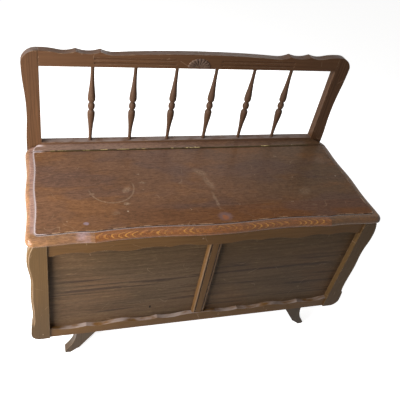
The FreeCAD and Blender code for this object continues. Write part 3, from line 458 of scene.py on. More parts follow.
PALE_MARKS = (
    ((-0.219, -0.034), 0.020, 0.012, 40, 0.42),
    ((-0.226, -0.089), 0.010, 0.006, 0, 0.6),
    ((-0.312, -0.046), 0.009, 0.006, 0, 0.4),
    ((-0.177, 0.029), 0.008, 0.004, 10, 0.5),
    ((-0.172, -0.008), 0.014, 0.005, -10, 0.45),
    ((-0.173, -0.038), 0.004, 0.003, 0, 0.6),
    ((-0.260, -0.122), 0.014, 0.010, 0, 0.2),
    ((-0.381, -0.142), 0.0028, 0.0024, 0, 0.9),
    ((-0.062, -0.124), 0.0050, 0.0018, -50, 0.95),
    ((-0.410, -0.046), 0.018, 0.0009, -62, 0.5),
    ((0.004, 0.028), 0.030, 0.017, -40, 0.36),
    ((0.018, -0.020), 0.040, 0.013, -75, 0.34),
    ((0.017, -0.092), 0.045, 0.006, -88, 0.38),
    ((0.268, 0.093), 0.008, 0.005, 0, 0.5),
    ((0.283, -0.009), 0.0034, 0.0026, 0, 0.8),
    ((0.168, 0.007), 0.0040, 0.0022, 20, 0.7),
    ((0.234, -0.115), 0.0050, 0.0022, 0, 0.9),
    ((0.207, -0.103), 0.0032, 0.0022, 0, 0.6),
    ((0.456, -0.119), 0.0044, 0.0030, 30, 0.8),
    ((0.395, -0.131), 0.0030, 0.0024, 0, 0.8),
    ((0.292, -0.075), 0.030, 0.020, 30, 0.22),
    ((0.415, 0.066), 0.034, 0.024, 20, 0.2),
)
LILAC_MARKS = (
    ((-0.335, -0.153), 0.0090, 0.0046, 5, 0.7),
    ((0.024, -0.157), 0.026, 0.022, 0, 0.3),
)
ORANGE_MARK = ((0.023, -0.161), 0.0135, 0.013, 0, 0.7)
RING_MARK_MIDDLE = (-0.258, -0.0226, 0)
# Where the lid's front board is glued on, and how far the nosing's flame grain goes to each side
BOARD_JOINT = -0.1165
FLAME_END = 0.318
# Length of the flame's arcs and of the fine scales in them
ARC = 0.018
SCALE = 0.0045


def marks(s, place, listed):
    """The strongest at each place of several soft-rimmed ovals on top of the lid."""
    total = 0.0
    for middle, half_length, half_width, turn, strength in listed:
        inputs = {
            "Vector": place, "Location": (*middle, SEAT_TOP), "Rotation": (0, 0, math.radians(turn)),
            "Scale": (half_length, half_width, 1.0),
        }
        oval = s.add("ShaderNodeMapping", inputs, vector_type="TEXTURE").outputs[0]
        inside = s.step(s.vector("LENGTH", oval), 1.0, 0.35)
        total = s.math("MAXIMUM", total, s.times(inside, strength))
    return total


def ring_mark(s, place):
    """The lower part of a thin ring that a wet pot left."""
    x, y, _ = s.split(s.vector("SUBTRACT", place, RING_MARK_MIDDLE))
    away = s.vector("LENGTH", s.join(x, y, 0.0))
    line = s.step(s.apart(away, size("ring_mark")), 0.0032, 0.0004)
    return s.times(line, s.step(s.minus(y, s.times(x, 0.18)), 0.012, -0.012))


def lid_oak():
    """Varnished oak of the seat: a worn field of glued boards inside a nosing with flame grain."""
    s, place = new_material("lid oak")
    rings = grain_of(s, place, "x", (0, -1.2, SEAT_TOP - 0.05), 0.0026, bend=0.13, wander=0.007)
    field, pale, lines = lid_field(s, place, rings)
    on_nosing = s.step(s.split(place)[2], SEAT_TOP - 0.0006, SEAT_TOP - 0.0016)
    base = s.mix(on_nosing, field, nosing(s, place, rings))
    base = groove_lines(s, base, place)
    under = s.step(s.split(s.normal())[2], -0.6, -0.85)
    base = s.mix(under, base, grained(s, tint("lid_under"), rings, 0.7))
    rough = s.range(s.noise(place, (5, 9, 9), 4, 0.6), 0.3, 0.7, 0.36, 0.5)
    rough = s.plus(rough, s.times(s.math("MAXIMUM", pale, rings["Pores"]), 0.2))
    rough = s.minus(rough, s.times(on_nosing, 0.2))
    height = s.plus(s.times(rings["Pores"], -0.06), s.times(lines, -0.05))
    shine = s.range(on_nosing, 0.0, 1.0, 0.08, 0.32)
    coat = {"Coat Weight": size("varnish"), "Coat Roughness": 0.25, "Specular IOR Level": shine}
    return finish(s, base, rough, height, **coat)


def speckled(s, base, place, amount):
    """The crazed look of old varnish: fine light and dark spots."""
    spots = s.noise(place, (85, 250, 250), 4, 0.72)
    return s.lit(base, s.range(spots, 0.35, 0.65, 1.0 - amount, 1.0 + amount))


def lid_field(s, place, rings):
    """The flat of the lid: cloudy old varnish over two tints of board, with marks and scratches."""
    x, y, _ = s.split(place)
    joint = s.times(s.step(y, BOARD_JOINT, BOARD_JOINT - 0.002), s.step(x, -0.25, 0.12))
    base = s.mix(s.step(x, 0.0, 0.42), tint("lid"), tint("lid_right"))
    base = s.over(base, tint("lid_front"), s.step(y, -0.06, -0.15), s.step(x, -0.4, -0.1), 0.5)
    base = s.mix(joint, base, tint("lid_front"))
    cloud = s.patches(place, (5, 11, 8), 0.47, 0.62, 4, 0.6)
    base = s.over(base, paint(130, 88, 54), cloud, 0.5)
    mauve = s.patches(s.vector("ADD", place, (4.0, 2.0, 0.0)), (4, 11, 8), 0.48, 0.62, 3)
    base = s.over(base, paint(96, 74, 66), mauve, 0.5)
    base = s.over(base, paint(142, 116, 102), s.step(y, 0.146, 0.15), s.step(x, 0.5, -0.45), 0.8)
    base = speckled(s, grained(s, base, rings, 0.5, 0.62, 1.25), place, 0.3)
    rim = s.add("ShaderNodeTexNoise", {"Vector": place, "Scale": 110.0, "Detail": 4.0}).outputs["Color"]
    shift = s.vector("MULTIPLY", s.vector("SUBTRACT", rim, (0.5, 0.5, 0.5)), (0.012, 0.012, 0.0))
    wobbled = s.vector("ADD", place, shift)
    crumbly = s.patches(place, (190, 240, 200), 0.4, 0.62, 4, 0.7)
    pale = s.math("MAXIMUM", marks(s, wobbled, PALE_MARKS), s.times(ring_mark(s, place), 0.4))
    pale = s.times(pale, s.range(crumbly, 0, 1, 0.3, 1.0))
    base = s.mix(pale, base, paint(186, 158, 130))
    base = s.mix(marks(s, wobbled, LILAC_MARKS), base, paint(150, 132, 142))
    base = s.mix(marks(s, wobbled, (ORANGE_MARK,)), base, paint(164, 98, 54))
    finer = hair_scratches(s, s.vector("ADD", place, (3.1, 1.7, 0.4)), (17, 8, 9), 0.003)
    lines = s.math("MAXIMUM", hair_scratches(s, place, (7, 11, 9), 0.0035), finer)
    base = s.over(base, tint("worn"), lines, 0.25)
    base = s.over(base, paint(206, 184, 158), nicks(s, place, 26.0, 0.2), 0.6)
    return base, pale, lines


def nosing(s, place, rings):
    """The moulded edge: flame grain in nested arcs between the two cusps, plain grain past them, painted
    shade past the right cusp and painted sheen on the left.
    """
    x, y, z = s.split(place)
    aside = s.math("ABSOLUTE", x)
    at_front = s.step(y, -0.165, -0.18)
    # Painted shade: the plain nosing darkens towards the right.
    plain = s.mix(s.step(x, 0.1, 0.34), tint("nosing"), tint("nosing_right_shade"))
    ochre = s.patches(place, (14, 30, 30), 0.45, 0.62, 3)
    plain = grained(s, s.over(plain, paint(140, 100, 52), ochre, 0.3), rings, 0.6, 0.6, 1.28)
    # Painted sheen: a pale lilac patch on the front of the nosing, just left of the left cusp.
    cusp_sheen = s.times(
        s.step(x, -FLAME_END - 0.05, -FLAME_END - 0.03), at_front,
        s.step(x, -FLAME_END - 0.006, -FLAME_END - 0.02), s.patches(place, (30, 60, 60), 0.25, 0.6, 3),
    )
    plain = s.over(plain, paint(184, 158, 166), cusp_sheen, 0.45)
    # Painted sheen: a narrow pale pinkish band along the left side's nosing, set back from its front.
    left_side_sheen = s.times(s.step(x, -0.45, -0.457), s.step(x, -0.472, -0.464), s.step(y, -0.18, -0.165))
    plain = s.over(plain, paint(182, 150, 146), left_side_sheen, 0.45)
    drop = s.minus(s.plus(y, z), SEAT_TOP - 0.2)
    sway = s.times(s.noise(place, (9, 30, 30)), 0.03)
    wavy = s.times(s.noise(place, (110, 260, 260), 3), 0.008)
    run = s.plus(s.plus(aside, s.times(drop, drop, 110.0)), s.plus(sway, wavy))
    scales = s.step(s.apart(s.cycle(run, SCALE), 0.5), 0.1, 0.4)
    figured = s.over(tint("nosing_middle"), paint(88, 50, 28), scales, 0.5)
    figured = s.over(figured, tint("nosing"), s.step(rings["Streaks"], 0.5, 0.66), 0.5)
    arc = s.times(
        s.step(s.apart(s.cycle(run, ARC), 0.5), 0.2, 0.05),
        s.step(s.math("ABSOLUTE", drop), 0.0145, 0.007), s.patches(place, (17, 20, 20), 0.38, 0.6),
    )
    figured = s.over(figured, tint("nosing_flame"), arc, 0.8)
    flame = s.times(s.step(aside, FLAME_END + 0.001, FLAME_END), at_front)
    return speckled(s, s.mix(flame, plain, figured), place, 0.32)


def groove_lines(s, base, place):
    """The step round the field: a pale arris, partly rubbed and partly painted highlight, a wall below it in
    painted shade and grey wax at its foot.
    """
    x, y, z = s.split(place)
    level = s.step(s.split(s.normal())[2], 0.6, 0.9)
    outside, inside = (occlusion(s, size("wax_and_shade_reach"), inward) for inward in (False, True))
    # Painted shade: the step's wall is darkened.
    wall_shade = s.minus(s.step(z, SEAT_TOP - 0.003, SEAT_TOP - 0.0026), level)
    base = s.mix(s.math("MULTIPLY", wall_shade, 0.8, clamped=True), base, paint(44, 36, 36))
    at_nosing = s.step(z, SEAT_TOP - 0.001, SEAT_TOP - 0.0018)
    foot = s.times(s.step(outside, 0.93, 0.7), level, at_nosing, s.step(x, 0.453, 0.444))
    base = s.over(base, tint("dust_and_sheen"), foot, 0.9)
    # Painted highlight, partly rubbed varnish: the arris is pale, whitest and lilac on the left side, and in
    # broken patches along the back.
    at_side = s.step(x, -0.42, -0.44)
    broken = s.patches(place, (46, 46, 46), 0.45, 0.6, 3, 0.6)
    shown = s.math("MAXIMUM", at_side, s.times(broken, s.step(y, 0.136, 0.128)))
    arris = s.times(s.step(inside, 0.9, 0.65), s.minus(1.0, at_nosing), level, shown)
    return s.over(base, s.mix(at_side, paint(206, 170, 138), paint(226, 208, 208)), arris, 0.85)


NAIL_HOLE = (-0.149, 0.0, 0.17)


def panel_oak():
    """Grey-brown oak of the front panels, with long dark streaks that wave along the board."""
    s, place = new_material("panel oak")
    x, y, z = s.split(place)
    rings = grain_of(s, place, "x", (0, 0.05, 0.2), 0.014, wander=0.03)
    base = s.mix(s.step(z, 0.28, 0.42), tint("panel"), tint("panel_top"))
    base = s.over(base, paint(116, 88, 64), s.patches(place, (4, 9, 9), 0.45, 0.62), 0.5)
    base = speckled(s, grained(s, base, rings, 0.75, 0.58, 1.28), place, 0.14)
    where = s.times(s.step(z, 0.37, 0.31), s.patches(place, (5, 14, 14), 0.32, 0.48, 1))
    deep = s.times(s.patches(place, (2.6, 105, 105), 0.45, 0.37, 4, 0.55), where, 0.75)
    base = s.mix(deep, base, paint(60, 47, 42))
    base = s.over(base, paint(160, 134, 98), s.patches(place, (26, 460, 460), 0.62, 0.74), 0.4)
    base = s.over(base, tint("worn"), hair_scratches(s, place, (8, 8, 10)), 0.25)
    base = s.over(base, tint("worn"), nicks(s, place, 24.0), 0.45)
    hole = s.vector("SUBTRACT", s.join(x, 0.0, z), NAIL_HOLE)
    hole = s.vector("LENGTH", s.vector("MULTIPLY", hole, (1.0, 1.0, 0.45)))
    base = s.mix(s.step(hole, 0.003, 0.0018), base, paint(24, 20, 18))
    rough = s.range(rings["Streaks"], 0.2, 0.8, 0.4, 0.56)
    return finish(s, base, rough, s.plus(s.times(rings["Pores"], -0.1), s.times(deep, -0.04)))


def dull_brass():
    """Brass with brown tarnish in patches and brighter edges; dark patches, more of them towards the right,
    and painted shade on what does not face up.
    """
    s, place = new_material("hinge brass")
    tarnish = s.patches(place, (40, 160, 160), 0.4, 0.66, 4, 0.6)
    base = s.over(tint("brass"), paint(120, 92, 52), tarnish, 0.6)
    base = s.over(base, paint(214, 186, 122), edge_wear_and_highlight(s, 0.0008), 0.3)
    dirt_and_shade = s.plus(s.noise(place, (24, 24, 24), 3, 0.6), s.times(s.split(place)[0], 0.16))
    # Painted shade: what does not face up, such as the leaves in the gap, is darkened.
    level = s.split(s.normal())[2]
    dirt_and_shade = s.math("MAXIMUM", s.step(dirt_and_shade, 0.38, 0.46), s.step(level, 0.93, 0.8))
    base = s.over(base, paint(50, 36, 26), dirt_and_shade, 0.9)
    height = s.times(s.noise(place, (900, 900, 900)), 0.03)
    return finish(s, base, s.range(dirt_and_shade, 0, 1, 0.36, 0.7), height, Metallic=1.0)


def screw_steel():
    """Zinc-plated steel that has gone grey, brown in places."""
    s, place = new_material("screw steel")
    rust = s.patches(place, (220, 220, 220), 0.5, 0.68, 4, 0.6)
    base = s.over(tint("steel"), paint(112, 76, 52), rust, 0.6)
    height = s.times(s.noise(place, (1500, 1500, 1500)), 0.02)
    return finish(s, base, s.range(rust, 0, 1, 0.34, 0.7), height, Metallic=1.0)


def coat_nodes(material, *names):
    """Gives CAD nodes a material; their shapes stay as they are."""
    for name in names:
        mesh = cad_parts[name].data
        mesh.materials.clear()
        mesh.materials.append(material)


def both(word):
    return [word % side for side in ("left", "right")]


def new_object(name, data):
    item = bpy.data.objects.new(name, data)
    bpy.context.scene.collection.objects.link(item)
    return item


# Shapes that geometry nodes make


class Shaping(Nodes):
    """The nodes of a geometry tree."""

    def get(self, kind, inputs=(), **settings):
        """What a geometry node gives first."""
        return self.add("GeometryNode" + kind, inputs, **settings).outputs[0]

    def power(self, value, exponent):
        """The power of a value that is kept just above 0."""
        return self.math("POWER", self.math("MAXIMUM", value, 0.0001), exponent)

    def lifted(self, geometry, height):
        inputs = {"Geometry": geometry, "Translation": self.join(0.0, 0.0, height)}
        return self.get("Transform", inputs)

    def joined(self, *geometries):
        node = self.add("GeometryNodeJoinGeometry")
        for geometry in geometries:
            self.tree.links.new(geometry, node.inputs[0])
        return node.outputs[0]


def shape_tree(name, sizes):
    """A geometry tree with a named input for each size, and its group input's outputs."""
    tree = bpy.data.node_groups.new(name, "GeometryNodeTree")
    new_socket(tree, "Geometry", "INPUT", "Geometry")
    kinds = {float: "Float", int: "Int", tuple: "Vector"}
    for word, value in sizes.items():
        socket = new_socket(tree, word, "INPUT", kinds.get(type(value), "Material"))
        if value is not None:
            socket.default_value = value
    new_socket(tree, "Geometry", "OUTPUT", "Geometry")
    return Shaping(tree), tree.nodes.new("NodeGroupInput").outputs


def end_tree(g, given, instance, **turn):
    """Sets the shape on each point and makes plain meshes of it, in the material given."""
    placed = g.get("InstanceOnPoints", {"Points": given["Geometry"], "Instance": instance, **turn})
    real = g.get("RealizeInstances", {0: placed})
    coated = g.get("SetMaterial", {"Geometry": real, "Material": given["Material"]})
    g.add("NodeGroupOutput", {0: coated})
    return g.tree


SHARP = math.radians(35)


def grow(name, points, tree, sizes, body, replaced):
    """Keeps what a geometry tree makes of the points as a plain piece, in place of CAD nodes."""
    seeds = bpy.data.meshes.new(name + " points")
    seeds.from_pydata(points, [], [])
    maker = new_object(name + " maker", seeds)
    modifier = maker.modifiers.new("Shape", "NODES")
    modifier.node_group = tree
    sockets = {item.name: item.identifier for item in tree.interface.items_tree if item.in_out == "INPUT"}
    for word, value in sizes.items():
        modifier[sockets[word]] = value
    evaluated = maker.evaluated_get(bpy.context.evaluated_depsgraph_get())
    mesh = bpy.data.meshes.new_from_object(evaluated)
    maker.modifiers.clear()
    bpy.data.objects.remove(maker)
    mesh.name = name
    piece = new_object(name, mesh)
    if not mesh.polygons:
        raise RuntimeError(name + " came out empty")
    mesh.polygons.foreach_set("use_smooth", [True] * len(mesh.polygons))
    mesh.set_sharp_from_angle(angle=SHARP)
    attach(piece, body)
    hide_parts(*replaced)


def countersunk_screw():
    """A slotted wood screw at each point, where its head's face lies, with its shank along +Z."""
    g, given = shape_tree("countersunk screw", {
        "Head": 0.008, "Shank": 0.004, "Length": 0.03, "Slot": 0.0008, "Pitch": 0.0016,
        "Turn": (0.0, 0.0, 0.0), "Material": None,
    })
    head = g.times(given["Head"], 0.5)
    shank, core = (g.times(given["Shank"], part) for part in (0.48, 0.34))
    sink = g.minus(head, shank)
    plain = g.times(given["Length"], 0.4)
    threaded = g.minus(g.times(given["Length"], 0.88), plain)
    start = g.plus(sink, plain)
    end = g.plus(start, threaded)
    cone = g.get("MeshCone", {"Vertices": 32, "Radius Top": shank, "Radius Bottom": head, "Depth": sink})
    slot = g.get("MeshCube", {"Size": g.join(g.times(head, 2.4), given["Slot"], given["Slot"])})
    slotted = g.get("MeshBoolean", {"Mesh 1": cone, "Mesh 2": slot}, operation="DIFFERENCE", solver="EXACT")
    smooth = g.get("MeshCylinder", {"Vertices": 24, "Radius": shank, "Depth": plain})
    smooth = g.lifted(smooth, g.plus(sink, g.times(plain, 0.5)))
    stem = g.get("MeshCylinder", {"Vertices": 20, "Radius": core, "Depth": threaded})
    stem = g.lifted(stem, g.plus(start, g.times(threaded, 0.5)))
    tip = g.get("MeshCone", {
        "Vertices": 20, "Radius Top": 0.00012, "Radius Bottom": core, "Depth": g.minus(given["Length"], end),
    })
    spiral = g.get("CurveSpiral", {
        "Resolution": 14, "Rotations": g.math("DIVIDE", threaded, given["Pitch"]),
        "Start Radius": core, "End Radius": core, "Height": threaded,
    })
    ridge = g.get("CurvePrimitiveCircle", {"Resolution": 4, "Radius": g.times(given["Shank"], 0.13)},
                  mode="RADIUS")
    thread = g.get("CurveToMesh", {"Curve": spiral, "Profile Curve": ridge, "Fill Caps": True})
    screw = g.joined(slotted, smooth, stem, g.lifted(tip, end), g.lifted(thread, start))
    return end_tree(g, given, screw, Rotation=given["Turn"])


def fluted_dowel():
    """A dowel with glue flutes and eased ends, standing on each point."""
    g, given = shape_tree("fluted dowel", {
        "Radius": 0.004, "Length": 0.036, "Flute": 0.00025, "Flutes": 16, "Material": None,
    })
    rod = g.get("MeshCylinder", {
        "Vertices": 128, "Side Segments": 12, "Radius": given["Radius"], "Depth": given["Length"],
    })
    x, y, z = g.split(g.get("InputPosition"))
    wave = g.math("COSINE", g.times(g.math("ARCTAN2", y, x), given["Flutes"]))
    depth = g.times(g.math("MAXIMUM", wave, 0.0), given["Flute"])
    half = g.times(given["Length"], 0.5)
    to_end = g.minus(half, g.math("ABSOLUTE", z))
    eased = g.range(to_end, 0.0, 0.002, 0.0008, 0.0)
    scale = g.minus(1.0, g.math("DIVIDE", g.plus(depth, eased), given["Radius"]))
    shaped = g.join(g.times(x, scale), g.times(y, scale), z)
    rod = g.get("SetPosition", {"Geometry": rod, "Position": shaped})
    return end_tree(g, given, g.lifted(rod, half))


def shell_fan():
    """A half shell on a flat back: rounded lobes that fan out from the middle of its foot."""
    g, given = shape_tree("shell fan", {
        "Reach": 0.034, "Height": 0.027, "Relief": 0.0038, "Sink": 0.0008, "Lobes": 9, "Material": None,
    })
    fan = g.get("MeshGrid", {"Size X": 1.0, "Size Y": 1.0, "Vertices X": 181, "Vertices Y": 41})
    across, out, _ = g.split(g.get("InputPosition"))
    turn, share_out = g.plus(across, 0.5), g.plus(out, 0.5)
    lobe = g.math("FRACT", g.times(turn, given["Lobes"]))
    ridge = g.power(g.math("SINE", g.times(lobe, math.pi)), 0.55)
    radius = g.times(share_out, g.plus(0.9, g.times(ridge, 0.1)))
    fall = g.power(g.minus(1.0, g.math("POWER", share_out, 7.0)), 0.5)
    carved = g.times(g.power(share_out, 0.6), fall, g.plus(0.3, g.times(ridge, 0.7)))
    angle = g.times(turn, math.pi)
    x = g.times(g.math("COSINE", angle), g.times(radius, given["Reach"]))
    z = g.times(g.math("SINE", angle), g.times(radius, given["Height"]))
    y = g.times(carved, g.times(given["Relief"], -1.0))
    front = g.get("SetPosition", {"Geometry": fan, "Position": g.join(x, y, z)})
    back = g.add("GeometryNodeExtrudeMesh", {
        "Mesh": front, "Offset": g.join(0.0, 1.0, 0.0), "Offset Scale": given["Sink"], "Individual": False,
    }).outputs
    flat = g.get("SetPosition", {
        "Geometry": back[0], "Selection": back["Top"], "Position": g.join(x, given["Sink"], z),
    })
    whole = g.joined(g.get("FlipFaces", {0: front}), flat)
    return end_tree(g, given, g.get("MergeByDistance", {"Geometry": whole, "Distance": 0.00001}))


def spread(low, high, inset, count):
    """Places at even distances between two ends, the outer ones inset from them."""
    low, high = low + inset, high - inset
    return [low + (high - low) * number / (count - 1) for number in range(count)]


# Operators: one for each piece or group of like pieces


class Maker:
    """What all the operators share."""

    bl_options = {"REGISTER", "UNDO"}

    def execute(self, context):
        self.make()
        return {"FINISHED"}


# The camera that was fitted to the photograph: its turns are in degrees, its lens in millimetres
CAMERA_PLACE = (-0.4324, -1.0062, 1.3353)
CAMERA_HEADING = -18.52
CAMERA_DIP = 38.03
CAMERA_ROLL = 9.445
CAMERA_LENS = 43.79
CAMERA_SHIFT = (0.0773, -0.0613)


class SETTLE_OT_camera(Maker, bpy.types.Operator):
    """Set the camera at the angle of the photograph"""

    bl_idname = "settle.camera"
    bl_label = "Camera"

    def make(self):
        data = bpy.data.cameras.new("photo camera")
        data.sensor_width = 36.0
        data.lens = CAMERA_LENS
        data.shift_x, data.shift_y = CAMERA_SHIFT
        camera = new_object("photo camera", data)
        turned = Matrix.Translation(CAMERA_PLACE)
        for angle, axis in ((CAMERA_HEADING, "Z"), (90 - CAMERA_DIP, "X"), (CAMERA_ROLL, "Z")):
            turned = turned @ Matrix.Rotation(math.radians(angle), 4, axis)
        camera.matrix_world = turned
        bpy.context.scene.camera = camera


class SETTLE_OT_lid(Maker, bpy.types.Operator):
    """Finish the lid board and the fixed strip behind it"""

    bl_idname = "settle.lid"
    bl_label = "Lid and rear strip"

    def make(self):
        coat_nodes(lid_oak(), "lid_board", "seat_rear_strip")


class SETTLE_OT_front(Maker, bpy.types.Operator):
    """Finish the rails, stiles and muntin of the front"""

    bl_idname = "settle.front"
    bl_label = "Front frame"

    def make(self):
        rail = varnished("front rail oak", tint("rail"), (0, 0.1, 0.43), dust_and_sheen_share=0.6)
        coat_nodes(rail, "front_top_rail", "front_bottom_rail")
        stile = varnished("front stile oak", tint("stile"), (0, 0.02, 0.02), "z", moulded=True)
        coat_nodes(stile, *both("front_stile_%s"))
        muntin = varnished("muntin oak", tint("rail"), (0, 0.3, 0.1), "z", beaded=True)
        coat_nodes(muntin, "front_muntin")


class SETTLE_OT_panels(Maker, bpy.types.Operator):
    """Finish the two panels of the front"""

    bl_idname = "settle.panels"
    bl_label = "Front panels"

    def make(self):
        coat_nodes(panel_oak(), *both("front_panel_%s"))


class SETTLE_OT_sides(Maker, bpy.types.Operator):
    """Finish the sides of the box"""

    bl_idname = "settle.sides"
    bl_label = "Sides"

    def make(self):
        upright = varnished("side stile oak", tint("side"), (0, 0.3, 0.5), "z", 0.005)
        coat_nodes(upright, *both("side_stile_front_%s"), *both("side_stile_rear_%s"))
        level = varnished("side rail oak", tint("side"), (0, 0.6, 0.5), "y", 0.005)
        coat_nodes(level, *both("side_top_rail_%s"), *both("side_bottom_rail_%s"))
        panel = varnished("side panel oak", tint("panel"), (0, 0.04, 0.56), "z", 0.01, 0.03, figure=0.8)
        coat_nodes(panel, *both("side_panel_%s"))


class SETTLE_OT_back_frame(Maker, bpy.types.Operator):
    """Finish the crest rail, the lower rail and the stiles of the back"""

    bl_idname = "settle.back_frame"
    bl_label = "Back frame"

    def make(self):
        rail = varnished("back rail oak", tint("back"), (0, 0.3, 0.7), ring=0.005, wear_and_highlight=0.8, dust_and_sheen_share=0.1)
        coat_nodes(rail, "crest_rail")
        lower = varnished("lower rail oak", tint("lower_rail"), (0, 0.1, 0.6), ring=0.005, dust_and_sheen_share=0.4)
        coat_nodes(lower, "lower_back_rail")
        stile = varnished("back stile oak", tint("back"), (0, 0.25, 0.52), "z", 0.008, 0.03, figure=0.9,
                          dark=0.5)
        coat_nodes(stile, *both("back_stile_%s"))


class SETTLE_OT_spindles(Maker, bpy.types.Operator):
    """Finish the turned spindles"""

    bl_idname = "settle.spindles"
    bl_label = "Spindles"

    def make(self):
        turned = varnished("spindle oak", tint("turned"), (0, 0.19, 0.02), "z")
        coat_nodes(turned, *["spindle_%d" % number for number in range(1, 7)])


class SETTLE_OT_shell(Maker, bpy.types.Operator):
    """Carve the shell in the middle of the crest rail"""

    bl_idname = "settle.shell"
    bl_label = "Shell carving"

    def make(self):
        carved = varnished("carved oak", tint("carving"), (0, 0.3, 0.7), wear_and_highlight=1.0)
        low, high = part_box("shell_carving")
        sizes = {
            "Reach": (high.x - low.x) / 2, "Height": high.z - low.z, "Relief": size("shell_relief"),
            "Lobes": size("shell_lobes"), "Material": carved,
        }
        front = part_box("crest_rail")[0].y
        grow("shell_lobes", [((low.x + high.x) / 2, front, low.z)], shell_fan(), sizes, "box",
             ["shell_carving"])


class SETTLE_OT_feet(Maker, bpy.types.Operator):
    """Finish the four splayed feet"""

    bl_idname = "settle.feet"
    bl_label = "Feet"

    def make(self):
        foot = varnished("foot oak", tint("foot"), (0, 0.4, 0.3), "z", 0.005, wear_and_highlight=1.0)
        coat_nodes(foot, *both("foot_front_%s"), *both("foot_rear_%s"))


class SETTLE_OT_inside(Maker, bpy.types.Operator):
    """Finish the bare wood inside the box and under the lid"""

    bl_idname = "settle.inside"
    bl_label = "Inside woods"

    def make(self):
        pine = tint("softwood")
        lengthways = bare_wood("pine along", pine, "x", (0, 0.05, 0.3), 0.0045)
        coat_nodes(lengthways, "back_top_rail", "back_bottom_rail", "bottom_cleat_front",
                   "bottom_cleat_rear")
        crossways = bare_wood("pine across", pine, "y", (0, 0.2, 0.38), 0.0045)
        coat_nodes(crossways, *both("bottom_cleat_%s"), *both("lid_batten_%s"))
        coat_nodes(plywood("bottom plywood", 2), "bottom_board")
        coat_nodes(plywood("back plywood", 1), "back_panel")


# Shank of each kind of screw, and the head radius of the steel ones, as the CAD has them
HINGE_SHANK = 0.003
BATTEN_HEAD, BATTEN_SHANK = 0.004, 0.004
FRAME_HEAD, FRAME_SHANK = 0.0045, 0.005
HINGE_SCREWS = 8


class SETTLE_OT_hinge(Maker, bpy.types.Operator):
    """Finish the continuous hinge and set its screws"""

    bl_idname = "settle.hinge"
    bl_label = "Hinge"

    def make(self):
        brass = dull_brass()
        coat_nodes(brass, "hinge_leaf_strip", "hinge_leaf_lid", "hinge_pin")
        for node, body, way in (("hinge_screws_strip", "box", 1), ("hinge_screws_lid", "lid", -1)):
            low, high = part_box(node)
            radius = (high.z - low.z) / 2
            y = low.y if way > 0 else high.y
            spots = [(x, y, low.z + radius) for x in spread(low.x, high.x, radius, HINGE_SCREWS)]
            set_screws(node, spots, radius, HINGE_SHANK, high.y - low.y, (-math.pi / 2 * way, 0, 0),
                       body, brass)


class SETTLE_OT_screws(Maker, bpy.types.Operator):
    """Set the screws of the battens and of the back frame"""

    bl_idname = "settle.screws"
    bl_label = "Steel screws"

    def make(self):
        steel = screw_steel()
        low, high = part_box("batten_screws")
        spots = [
            (x, y, low.z)
            for x in spread(low.x, high.x, BATTEN_HEAD, 2)
            for y in spread(low.y, high.y, BATTEN_HEAD, 3)
        ]
        set_screws("batten_screws", spots, BATTEN_HEAD, BATTEN_SHANK, high.z - low.z, (0, 0, 0), "lid",
                   steel)
        low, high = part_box("back_frame_screws")
        spots = [
            (x, high.y, z)
            for x in spread(low.x, high.x, FRAME_HEAD, 2)
            for z in spread(low.z, high.z, FRAME_HEAD, 3)
        ]
        set_screws("back_frame_screws", spots, FRAME_HEAD, FRAME_SHANK, high.y - low.y,
                   (math.pi / 2, 0, 0), "box", steel)


def set_screws(node, spots, radius, shank, reach, turn, body, material):
    """Slotted screws in place of a CAD node of plain ones."""
    tree = bpy.data.node_groups.get("countersunk screw") or countersunk_screw()
    sizes = {
        "Head": radius * 2, "Shank": shank, "Length": reach, "Slot": size("screw_slot"),
        "Pitch": size("thread_pitch"), "Turn": turn, "Material": material,
    }
    grow(node.replace("screws", "slotted_screws"), spots, tree, sizes, body, [node])


DOWEL_RADIUS = 0.004
DOWEL_FLUTES = 16


class SETTLE_OT_dowels(Maker, bpy.types.Operator):
    """Set the fluted dowels that hold the feet"""

    bl_idname = "settle.dowels"
    bl_label = "Dowels"

    def make(self):
        beech = bare_wood("beech", tint("beech"), "z", (0, 0.1, 0.2), 0.0015, figure=0.3)
        low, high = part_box("foot_dowels")
        left, right = spread(low.x, high.x, DOWEL_RADIUS, 2)
        spots = [
            (x + step, y, low.z)
            for x, pitch in ((left, size("dowel_pitch")), (right, -size("dowel_pitch")))
            for step in (0, pitch)
            for y in spread(low.y, high.y, DOWEL_RADIUS, 2)
        ]
        sizes = {
            "Radius": DOWEL_RADIUS, "Length": high.z - low.z, "Flute": size("dowel_flute"),
            "Flutes": DOWEL_FLUTES, "Material": beech,
        }
        grow("fluted_dowels", spots, fluted_dowel(), sizes, "box", ["foot_dowels"])


# Place, target, width and power of each lamp
LAMPS = {
    "front lamp": ((-1.0, -0.56, 0.6), (-0.1, 0.0, 0.35), 0.6, 14.0),
    "window lamp": ((-1.55, -0.25, 1.4), (-0.3, 0.0, 0.4), 0.7, 26.0),
    "ceiling lamp": ((-0.2, 0.4, 2.4), (-0.2, 0.1, 0.45), 1.6, 4.0),
    "back lamp": ((0.6, 1.9, 0.7), (0.0, 0.2, 0.4), 1.0, 14.0),
}
FLOOR_HALF = 9.0


class SETTLE_OT_stage(Maker, bpy.types.Operator):
    """Set the pale floor, the white surroundings and the four lamps"""

    bl_idname = "settle.stage"
    bl_label = "Stage"

    def make(self):
        lay_floor()
        light_world()
        for name, values in LAMPS.items():
            lamp(name, *values)
        bpy.context.scene.view_settings.view_transform = "Standard"


